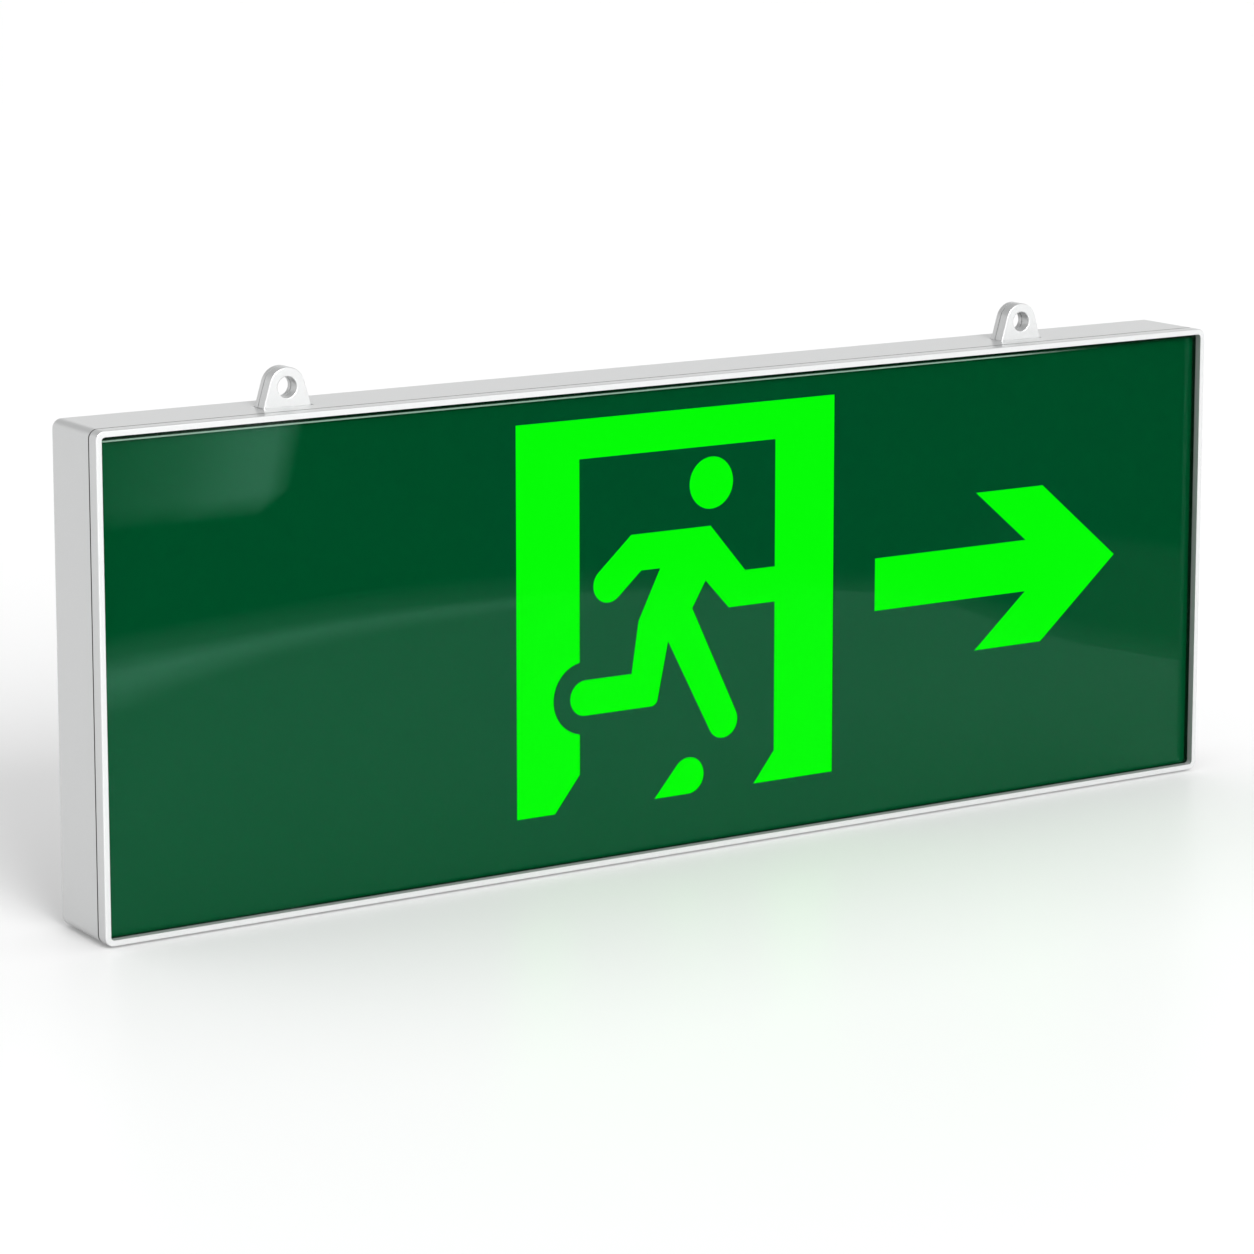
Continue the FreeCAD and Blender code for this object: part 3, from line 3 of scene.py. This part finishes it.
import bpy
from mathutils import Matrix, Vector

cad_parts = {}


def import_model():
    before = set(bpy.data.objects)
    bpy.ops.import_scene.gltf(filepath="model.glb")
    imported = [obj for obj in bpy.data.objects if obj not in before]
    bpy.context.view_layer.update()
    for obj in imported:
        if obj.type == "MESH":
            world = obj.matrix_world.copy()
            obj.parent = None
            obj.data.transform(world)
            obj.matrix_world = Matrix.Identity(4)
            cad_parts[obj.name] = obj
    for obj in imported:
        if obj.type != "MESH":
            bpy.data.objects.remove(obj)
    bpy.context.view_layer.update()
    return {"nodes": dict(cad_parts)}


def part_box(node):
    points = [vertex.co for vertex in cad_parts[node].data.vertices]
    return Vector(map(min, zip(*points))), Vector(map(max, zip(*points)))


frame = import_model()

MM = 0.001                         # sizes and places below are in millimetres where nothing else is said


# ---- colours and nodes -----------------------------------------------------------------------

def linear(hex_colour):
    """An sRGB hex colour such as "C8C9CB" as a linear RGBA."""
    channels = [int(hex_colour[i:i + 2], 16) / 255 for i in (0, 2, 4)]
    return (*[c / 12.92 if c <= 0.04045 else ((c + 0.055) / 1.055) ** 2.4 for c in channels], 1.0)


def add(tree, kind, settings=None, **inputs):
    """Adds a node: settings are its own properties, inputs are values or links for its sockets.

    A socket goes by its name, with _ for each space, or by its number, such as i0 for the first.
    """
    node = tree.nodes.new("ShaderNode" + kind)
    for name, value in (settings or {}).items():
        setattr(node, name, value)
    for name, value in inputs.items():
        numbered = name[0] == "i" and name[1:].isdigit()
        socket = node.inputs[int(name[1:]) if numbered else name.replace("_", " ")]
        if isinstance(value, bpy.types.NodeSocket):
            tree.links.new(value, socket)
        else:
            socket.default_value = value
    return node


def sees_straight(tree):
    """1 for the rays that carry what is looked at, straight on, mirrored or through glass, else 0."""
    path = add(tree, "LightPath").outputs
    mirrored = add(tree, "Math", {"operation": "MAXIMUM"}, i0=path["Is Camera Ray"],
                   i1=path["Is Glossy Ray"])
    any_way = add(tree, "Math", {"operation": "MAXIMUM"}, i0=mirrored.outputs[0],
                  i1=path["Is Transmission Ray"])
    return any_way.outputs[0]


def new_material(name):
    material = bpy.data.materials.new(name)
    material.use_nodes = True
    material.node_tree.nodes.clear()
    return material, material.node_tree


def finish_material(material, tree, shader):
    add(tree, "OutputMaterial", Surface=shader)
    return material


# ---- finishes ----------------------------------------------------------------------------------

# The joint between bezel and case: where the middle of its gap lies from front to back, and how far
# each side of that the painted shade line is full and has died out.
SEAM_GAP = 0.45
SEAM_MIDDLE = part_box("rear_case")[0][1] / MM - SEAM_GAP / 2
SEAM_SHADE_FULL, SEAM_SHADE_OUT = 0.24, 0.40

# The bevel along the pane's top edge, as painted shade: where it begins and is full above its foot, and
# how dark it is.
BEVEL_HEIGHT = 1.3
BEVEL_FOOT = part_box("sign_pane")[1][2] / MM - BEVEL_HEIGHT
BEVEL_SHADE_FROM, BEVEL_SHADE_FULL, BEVEL_SHADE_DEPTH = 0.15, 0.4, 0.6

# The painted highlight, a line of light at that foot: how far each side of it the line is full and has
# died out, how bright it is, and between which distances from the sign's middle it fades to the right.
HIGHLIGHT_FULL, HIGHLIGHT_OUT, HIGHLIGHT_LEVEL = 0.12, 0.34, 0.75
HIGHLIGHT_FADES, HIGHLIGHT_ENDS = 110, 145

PANE_VEIL = 0.04                   # how much of what lies behind the pane it hides
FILM_IOR, FILM_GLOSS, FILM_TINT = 1.5, 0.34, (0.36, 1.0, 0.74, 1.0)
GLOW_STRENGTH = 1.11


def silver_painted_abs():
    """Moulded ABS sprayed satin silver: pale and soft, with painted shade along the joint between the
    halves.
    """
    material, tree = new_material("silver_painted_abs")
    place = add(tree, "TexCoord").outputs["Object"]
    flake = add(tree, "TexNoise", Vector=place, Scale=1 / (0.35 * MM), Detail=2.0).outputs["Fac"]
    peel = add(tree, "TexNoise", Vector=place, Scale=1 / (2.2 * MM), Detail=1.0).outputs["Fac"]
    # pale silver with the faintest sparkle from grain to grain
    silver = add(tree, "MixRGB", Fac=flake, Color1=linear("C8C9C9"), Color2=linear("CFD0D0"))
    # painted shade: the joint is coloured as a fine dark line all round, for the shade in its groove
    depth = add(tree, "SeparateXYZ", Vector=place).outputs["Y"]
    off = add(tree, "Math", {"operation": "SUBTRACT"}, i0=depth, i1=SEAM_MIDDLE * MM)
    away = add(tree, "Math", {"operation": "ABSOLUTE"}, i0=off.outputs[0])
    seam_shade = add(tree, "MapRange", {"interpolation_type": "SMOOTHSTEP"}, Value=away.outputs[0],
                From_Min=SEAM_SHADE_FULL * MM, From_Max=SEAM_SHADE_OUT * MM, To_Min=1.0, To_Max=0.0)
    colour = add(tree, "MixRGB", Fac=seam_shade.outputs[0], Color1=silver.outputs[0], Color2=linear("6A6A6A"))
    gloss = add(tree, "MapRange", Value=flake, To_Min=0.30, To_Max=0.38)
    # a barely orange-peeled surface breaks up the window's edge
    skin = add(tree, "Bump", Height=peel, Distance=0.004 * MM)
    shader = add(tree, "BsdfPrincipled", Base_Color=colour.outputs[0], Metallic=0.5, IOR=1.5,
                 Roughness=gloss.outputs[0], Coat_Weight=0.25, Coat_Roughness=0.16, Normal=skin.outputs[0])
    return finish_material(material, tree, shader.outputs[0])


def clear_cast_acrylic():
    """Cast acrylic laid close on the film: clear from the front, its sawn edges painted dark green as
    shade, its top edge with painted shade and a painted highlight.
    """
    material, tree = new_material("clear_cast_acrylic")
    coordinates = add(tree, "TexCoord").outputs
    facing = add(tree, "SeparateXYZ", Vector=coordinates["Normal"]).outputs["Y"]
    place = add(tree, "SeparateXYZ", Vector=coordinates["Object"]).outputs
    squarely = add(tree, "Math", {"operation": "ABSOLUTE"}, i0=facing)
    # painted shade: the sawn edges are coloured nearly black, as the light they give back has crossed the
    # printed face
    painted_dark_edge = add(tree, "Math", {"operation": "LESS_THAN"}, i0=squarely.outputs[0], i1=0.5)
    # the top edge as a painted bevel: painted shade where it leans back, and a painted highlight along its
    # foot
    painted_shade = add(tree, "MapRange", Value=place["Z"], From_Min=(BEVEL_FOOT + BEVEL_SHADE_FROM) * MM,
               From_Max=(BEVEL_FOOT + BEVEL_SHADE_FULL) * MM, To_Max=BEVEL_SHADE_DEPTH)
    above = add(tree, "Math", {"operation": "SUBTRACT"}, i0=place["Z"], i1=BEVEL_FOOT * MM)
    off = add(tree, "Math", {"operation": "ABSOLUTE"}, i0=above.outputs[0])
    painted_highlight = add(tree, "MapRange", {"interpolation_type": "SMOOTHSTEP"}, Value=off.outputs[0],
               From_Min=HIGHLIGHT_FULL * MM, From_Max=HIGHLIGHT_OUT * MM, To_Min=HIGHLIGHT_LEVEL, To_Max=0.0)
    # the painted highlight fades out towards the right-hand end
    run = add(tree, "MapRange", Value=place["X"], From_Min=HIGHLIGHT_FADES * MM, From_Max=HIGHLIGHT_ENDS * MM,
              To_Min=1.0, To_Max=0.0)
    lit = add(tree, "Math", {"operation": "MULTIPLY"}, i0=painted_highlight.outputs[0], i1=run.outputs[0])
    # the painted highlight is pale green over the near-black green of the painted shade
    colour = add(tree, "MixRGB", Fac=lit.outputs[0], Color1=linear("0B2416"), Color2=linear("96B7A4"))
    painted_bevel = add(tree, "Math", {"operation": "MAXIMUM"}, i0=painted_shade.outputs[0], i1=lit.outputs[0])
    solid = add(tree, "Math", {"operation": "MAXIMUM"}, i0=painted_bevel.outputs[0], i1=painted_dark_edge.outputs[0])
    cover = add(tree, "MapRange", Value=solid.outputs[0], To_Min=PANE_VEIL, To_Max=1.0)
    shader = add(tree, "BsdfPrincipled", Base_Color=colour.outputs[0], IOR=1.49, Roughness=0.0,
                 Specular_IOR_Level=0.15, Alpha=cover.outputs[0])
    return finish_material(material, tree, shader.outputs[0])


def screen_printed_film():
    """Glossy polyester film with a dark green screen print: mirror-sharp, green-tinted reflections."""
    material, tree = new_material("screen_printed_film")
    place = add(tree, "TexCoord").outputs["Object"]
    ink = add(tree, "TexNoise", Vector=place, Scale=1 / (0.6 * MM), Detail=2.0).outputs["Fac"]
    # the ink lies a little unevenly
    colour = add(tree, "MixRGB", Fac=ink, Color1=linear("003B1D"), Color2=linear("003D1E"))
    shader = add(tree, "BsdfPrincipled", Base_Color=colour.outputs[0], IOR=FILM_IOR, Roughness=0.0,
                 Specular_IOR_Level=FILM_GLOSS, Specular_Tint=FILM_TINT)
    return finish_material(material, tree, shader.outputs[0])


def lit_green_diffuser():
    """Green acrylic lit from behind: an even bright glow that hides the lamps."""
    material, tree = new_material("lit_green_diffuser")
    shader = add(tree, "Emission", Color=linear("04FA04"), Strength=GLOW_STRENGTH)
    return finish_material(material, tree, shader.outputs[0])


def zinc_plated_steel():
    """Zinc-plated steel: grey-white metal with a fine barrel-plated haze."""
    material, tree = new_material("zinc_plated_steel")
    place = add(tree, "TexCoord").outputs["Object"]
    haze = add(tree, "TexNoise", Vector=place, Scale=1 / (0.5 * MM), Detail=2.0).outputs["Fac"]
    # the haze runs through the tone, the gloss and the relief alike
    colour = add(tree, "MixRGB", Fac=haze, Color1=linear("B4B6BA"), Color2=linear("D2D3D5"))
    gloss = add(tree, "MapRange", Value=haze, To_Min=0.28, To_Max=0.42)
    relief = add(tree, "Bump", Height=haze, Distance=0.004 * MM)
    shader = add(tree, "BsdfPrincipled", Base_Color=colour.outputs[0], Metallic=1.0,
                 Roughness=gloss.outputs[0], Normal=relief.outputs[0])
    return finish_material(material, tree, shader.outputs[0])


def plain_moulding(name, dark, light, roughness, grain_mm=0.8):
    """Plastic, rubber or glass as it was moulded, cast or drawn, with a fine grain of the given size."""
    material, tree = new_material(name)
    place = add(tree, "TexCoord").outputs["Object"]
    noise = add(tree, "TexNoise", Vector=place, Scale=1 / (grain_mm * MM), Detail=2.0).outputs["Fac"]
    # the grain shows as a slight change of tone and gloss, and as a shallow relief
    colour = add(tree, "MixRGB", Fac=noise, Color1=linear(dark), Color2=linear(light))
    gloss = add(tree, "MapRange", Value=noise, To_Min=roughness - 0.04, To_Max=roughness + 0.04)
    relief = add(tree, "Bump", Height=noise, Distance=0.006 * MM)
    shader = add(tree, "BsdfPrincipled", Base_Color=colour.outputs[0], IOR=1.5,
                 Roughness=gloss.outputs[0], Normal=relief.outputs[0])
    return finish_material(material, tree, shader.outputs[0])


FINISHES = {
    "silver": silver_painted_abs(),
    "pane": clear_cast_acrylic(),
    "film": screen_printed_film(),
    "glow": lit_green_diffuser(),
    "zinc": zinc_plated_steel(),
    # ABS from a fine-grained tool: an even, soft white
    "white_abs": plain_moulding("white_abs", "E6E6E1", "EFEFEA", 0.45),
    # moulded EPDM: nearly black, and too dull for a clear highlight
    "rubber": plain_moulding("black_epdm_rubber", "141414", "1D1D1D", 0.75, 0.5),
    # glass-fibre board under a poured solder mask: deep green with a soft shine
    "board": plain_moulding("green_solder_mask", "0C4A26", "10552D", 0.3, 1.5),
    # the same under a white mask, which throws the lamps' light forward
    "white_board": plain_moulding("white_solder_mask", "EFEFEC", "F6F6F3", 0.35, 1.5),
    # silicone with phosphor in it, cast over each lamp: warm yellow and smooth
    "phosphor": plain_moulding("phosphor_resin", "E6D98A", "EFE49C", 0.3, 0.4),
    # ABS from a polished tool: black with a fairly clear highlight
    "black_abs": plain_moulding("black_abs", "171717", "202020", 0.35),
    # moulded epoxy: charcoal with a broad, dull highlight
    "epoxy": plain_moulding("black_epoxy", "1B1B1D", "262628", 0.5, 0.6),
    # heat-shrunk PVC: a tight blue skin with long, slight waves
    "sleeve": plain_moulding("blue_shrink_sleeve", "1C4F8C", "235A9B", 0.3, 3.0),
    # lamp bodies of cast epoxy: light green and nearly as smooth as glass
    "lamp": plain_moulding("tinted_lamp_resin", "3FA552", "4DB561", 0.15, 1.2),
    # extruded PVC sheaths: plain colour with a soft sheen
    "red_pvc": plain_moulding("red_pvc_sheath", "A8201A", "B82620", 0.45, 0.8),
    "grey_pvc": plain_moulding("grey_pvc_sheath", "8C8C8C", "999999", 0.45, 0.8),
    # a drawn glass tube: pale grey with the sharpest highlight of all
    "fuse_glass": plain_moulding("fuse_glass", "C4CCD0", "D2D9DC", 0.12, 1.2),
}

WEARS = {
    "silver": ["rear_case", "front_bezel", "hanger_left", "hanger_right"],
    "pane": ["sign_pane"],
    "film": ["legend_film"],
    "glow": ["glow_sheet"],
    "zinc": ["case_screws", "tray_screws", "keeper_screws", "board_screws", "clip_screws", "fuse_clips"],
    "white_abs": ["reflector_tray", "keeper_left", "keeper_right", "mains_terminal", "board_sockets",
                  "battery_clips"],
    "rubber": ["cable_grommet"],
    "board": ["driver_board", "panel_board"],
    "white_board": ["led_board_door", "led_board_arrow"],
    "phosphor": ["leds_door", "leds_arrow"],
    "black_abs": ["test_button", "switch_plunger", "push_switch"],
    "epoxy": ["transformer", "capacitors"],
    "sleeve": ["battery_pack"],
    "lamp": ["indicator_lamps"],
    "red_pvc": ["battery_leads", "lamp_leads", "link_leads"],
    "grey_pvc": ["panel_cable"],
    "fuse_glass": ["fuse"],
}


def dress(node, material):
    mesh = frame["nodes"][node].data
    mesh.materials.clear()
    mesh.materials.append(material)


for finish, nodes in WEARS.items():
    for node in nodes:
        dress(node, FINISHES[finish])


# ---- table -------------------------------------------------------------------------------------

TABLE_HALF = 6.0                   # half its width and depth, in metres
TABLE_GAP = 0.5                    # how far it lies below the case, which leaves a fine dark line there
TABLE_LIFT = 0.2                   # the share of plain white in what is seen of it
CONTACT_REACH, CONTACT_SHADE = 150, "BDBDBD"      # the painted contact shade's reach and tone


def mesh_object(name, vertices, faces, material):
    mesh = bpy.data.meshes.new(name)
    mesh.from_pydata(vertices, [], faces)
    thing = bpy.data.objects.new(name, mesh)
    thing.data.materials.append(material)
    bpy.context.scene.collection.objects.link(thing)
    return thing


def table_material():
    """A white satin table: what the lights leave short of white is made up for the eye alone."""
    material, tree = new_material("white_satin_table")
    # painted contact shade: the table's colour darkens round the foot of what stands on it
    shade = add(tree, "AmbientOcclusion", {"samples": 1}, Distance=CONTACT_REACH * MM)
    colour = add(tree, "MixRGB", Fac=shade.outputs["AO"], Color1=linear(CONTACT_SHADE),
                 Color2=linear("F4F4F4"))
    satin = add(tree, "BsdfPrincipled", Base_Color=colour.outputs[0], Roughness=0.36, IOR=1.45,
                Specular_IOR_Level=0.15)
    lift = add(tree, "Emission", Color=linear("FFFFFF"), Strength=sees_straight(tree))
    share = add(tree, "MixShader", Fac=TABLE_LIFT, i1=satin.outputs[0], i2=lift.outputs[0])
    return finish_material(material, tree, share.outputs[0])


def table():
    half = TABLE_HALF
    low = -TABLE_GAP * MM
    mesh_object("table", [(-half, -half, low), (half, -half, low), (half, half, low), (-half, half, low)],
                [(0, 1, 2, 3)], table_material())


# ---- studio cards, which the film mirrors -----------------------------------------------------

CARD_FOOT = 0.6                    # the height of the strip, and of the flag's foot
# The strip of brighter table before the dark flag, from left to right: the flag's foot, the middle of
# the strip and its inner edge, each as x and y, then the level in the middle.
STRIP = [
    (-95, -300, -112, -255, -128, -205, 2.60), (-26, -322, -42, -289, -60, -243, 2.75),
    (5, -330, -7, -305, -23, -268, 2.60), (52, -340, 42, -322, 28, -294, 2.20),
    (95, -345, 86, -330, 74, -309, 1.95), (134, -343, 127, -331, 118, -314, 1.80),
    (172, -338, 165, -326, 157, -311, 1.30), (212, -320, 206, -310, 199, -299, 1.00),
    (236, -302, 231, -296, 225, -289, 0.97)]
STRIP_FOOT = 0.35                  # its level along the flag's foot, as a share of that in the middle
STRIP_EDGE = 1.0                   # its level along the inner edge, where the plain table takes over

# The flag's foot from there on round to the right: x, y and how much light falls on it.
FLAG_END = [(262, -270, 0.0), (266, -240, 0.0), (263, -205, 0.05), (263, -165, 0.22), (275, -122, 0.24),
            (300, -60, 0.24)]
END_FOOT = 0.6                     # the level right at that foot
FLAG_FADE = 9                      # how far up the flag the light at its foot creeps
LIT_HEIGHT, LIT_FADE = 36, 5       # how far up its right end is lit, and how softly that ends
FLAG_HEIGHT = 300

# The softbox: its place, and how far its right edge leans per millimetre of height.
SOFTBOX_Y, SOFTBOX_FOOT, SOFTBOX_TOP, SOFTBOX_LEAN = -290, 50, 140, 0.26
SOFTBOX_FADE = 8                   # how far above its foot it is fully lit
SOFTBOX_COLUMNS = [(-90, 0.6), (-45, 0.65), (-20, 1.2), (2, 2.3), (14, 2.6), (24, 0.0)]     # x and level


def card_material():
    """A studio card that only a polished face mirrors: for every other ray it isn't there."""
    material, tree = new_material("studio_card")
    path = add(tree, "LightPath")
    gone = add(tree, "BsdfTransparent")
    level = add(tree, "Attribute", {"attribute_name": "glow"})
    glow = add(tree, "Emission", Color=linear("FFFFFF"), Strength=level.outputs["Fac"])
    shader = add(tree, "MixShader", Fac=path.outputs["Is Singular Ray"], i1=gone.outputs[0],
                 i2=glow.outputs[0])
    return finish_material(material, tree, shader.outputs[0])


def card(name, rows, levels, material):
    """A card through rows of points in millimetres, each point with its own level of glow."""
    wide = len(rows[0])
    points = [Vector(point) * MM for row in rows for point in row]
    faces = [(i, i + 1, i + wide + 1, i + wide)
             for row in range(len(rows) - 1) for i in range(row * wide, row * wide + wide - 1)]
    thing = mesh_object(name, points, faces, material)
    glow = thing.data.attributes.new("glow", "FLOAT", "POINT")
    glow.data.foreach_set("value", [level for row in levels for level in row])
    thing.visible_camera = False
    thing.visible_diffuse = False
    thing.visible_shadow = False


def smooth_run(stops, steps=6):
    """More stops between the given ones, along a Catmull-Rom curve through them all."""
    run = []
    padded = [stops[0], *stops, stops[-1]]
    for a, b, c, d in zip(padded, padded[1:], padded[2:], padded[3:]):
        for step in range(steps):
            t = step / steps
            run.append([0.5 * (2 * q + (r - p) * t + (2 * p - 5 * q + 4 * r - s) * t ** 2
                               + (3 * q - p - 3 * r + s) * t ** 3) for p, q, r, s in zip(a, b, c, d)])
    return [*run, list(stops[-1])]


def strip_and_flag(material):
    """The bright strip gives the soft band across the film, and the flag the dark above it."""
    strip = smooth_run(STRIP)
    rows = [[(stop[i], stop[i + 1], CARD_FOOT) for stop in strip] for i in (0, 2, 4)]
    middle = [stop[6] for stop in strip]
    foot = [STRIP_FOOT * level for level in middle]
    card("table_strip", rows, [foot, middle, [STRIP_EDGE] * len(strip)], material)
    # the flag stands on the strip's outer edge, and its foot is as bright as the strip is there
    path = rows[0] + [(x, y, CARD_FOOT) for x, y, _ in FLAG_END]
    foot += [END_FOOT] * len(FLAG_END)
    lit = [0.0] * len(strip) + [level for _, _, level in FLAG_END]
    dark = [0.0] * len(path)
    heights = [CARD_FOOT, FLAG_FADE, LIT_HEIGHT, LIT_HEIGHT + LIT_FADE, FLAG_HEIGHT]
    card("dark_flag", [[(x, y, z) for x, y, _ in path] for z in heights],
         [foot, lit, lit, dark, dark], material)


def softbox(material):
    """It stands before the flag, and its lower right corner shows at the film's upper left."""
    heights = [SOFTBOX_FOOT, SOFTBOX_FOOT + SOFTBOX_FADE, SOFTBOX_TOP]
    rows = [[(x + SOFTBOX_LEAN * (z - SOFTBOX_FOOT), SOFTBOX_Y, z) for x, _ in SOFTBOX_COLUMNS]
            for z in heights]
    across = [level for _, level in SOFTBOX_COLUMNS]
    card("softbox", rows, [[0.0] * len(across), across, across], material)


# ---- surround and light ------------------------------------------------------------------------

EVEN_LIGHT = 0.65                  # what comes from all round, where 1 is white
# What shines mirrors white walls, which darken to the ceiling's level between two heights above the
# horizon, given as sines.
CEILING_FROM, CEILING_FULL = 0.24, 0.46
CEILING_LEVEL = 0.3
WINDOW_LEVEL = 1.25                # on a face turned straight to it, where 1 is white
WINDOW_SPREAD = 32                 # how wide it looks from the sign, in degrees
WINDOW_TOWARDS = Vector((0.04, 0.93, -0.46))      # the way its light travels


def world():
    """Even light from all round, and pure white behind everything."""
    scene_world = bpy.data.worlds.new("studio")
    bpy.context.scene.world = scene_world
    scene_world.use_nodes = True
    tree = scene_world.node_tree
    tree.nodes.clear()
    path = add(tree, "LightPath").outputs
    height = add(tree, "SeparateXYZ", Vector=add(tree, "TexCoord").outputs["Generated"]).outputs["Z"]
    # polished and painted faces mirror white walls under a darker ceiling, which draws their edges
    ceiling = add(tree, "MapRange", {"interpolation_type": "SMOOTHSTEP"}, Value=height,
                  From_Min=CEILING_FROM, From_Max=CEILING_FULL, To_Min=1.0, To_Max=CEILING_LEVEL)
    level = add(tree, "MapRange", Value=path["Is Glossy Ray"], To_Min=EVEN_LIGHT,
                To_Max=ceiling.outputs[0])
    light = add(tree, "Background", Color=linear("FFFFFF"), Strength=level.outputs[0])
    seen = add(tree, "Background", Color=linear("FFFFFF"), Strength=1.0)
    straight = add(tree, "Math", {"operation": "MAXIMUM"}, i0=path["Is Camera Ray"],
                   i1=path["Is Transmission Ray"])
    mix = add(tree, "MixShader", Fac=straight.outputs[0], i1=light.outputs[0], i2=seen.outputs[0])
    add(tree, "OutputWorld", Surface=mix.outputs[0])


def big_window():
    """A wide, far, soft light from in front of the sign and above it."""
    data = bpy.data.lights.new("window_light", "SUN")
    # a sun of strength pi lights a white face that is turned to it to exactly 1
    data.energy = WINDOW_LEVEL * math.pi
    data.angle = math.radians(WINDOW_SPREAD)
    lamp = bpy.data.objects.new("window_light", data)
    lamp.rotation_euler = WINDOW_TOWARDS.to_track_quat("-Z", "Y").to_euler()
    bpy.context.scene.collection.objects.link(lamp)


table()
studio_card = card_material()
strip_and_flag(studio_card)
softbox(studio_card)
world()
big_window()

# ---- camera --------------------------------------------------------------------------------------

SENSOR, FOCAL = 36, 121.711
CAMERA_PLACE = Vector((-0.6327, -0.9643, 0.2989))                   # metres
CAMERA_YAW, CAMERA_PITCH = math.radians(32.693), math.radians(8.957)
CAMERA_SHIFT = -0.15949            # as a share of the picture's width
CAMERA_NEAR = 0.01                 # nothing nearer than this is seen, in metres

camera_data = bpy.data.cameras.new("camera")
camera_data.sensor_width = SENSOR
camera_data.lens = FOCAL
camera_data.shift_y = CAMERA_SHIFT
camera_data.clip_start = CAMERA_NEAR
camera = bpy.data.objects.new("camera", camera_data)
camera.location = CAMERA_PLACE
camera.rotation_euler = (math.pi / 2 - CAMERA_PITCH, 0, -CAMERA_YAW)
bpy.context.scene.collection.objects.link(camera)
bpy.context.scene.camera = camera
bpy.context.scene.view_settings.view_transform = "Standard"
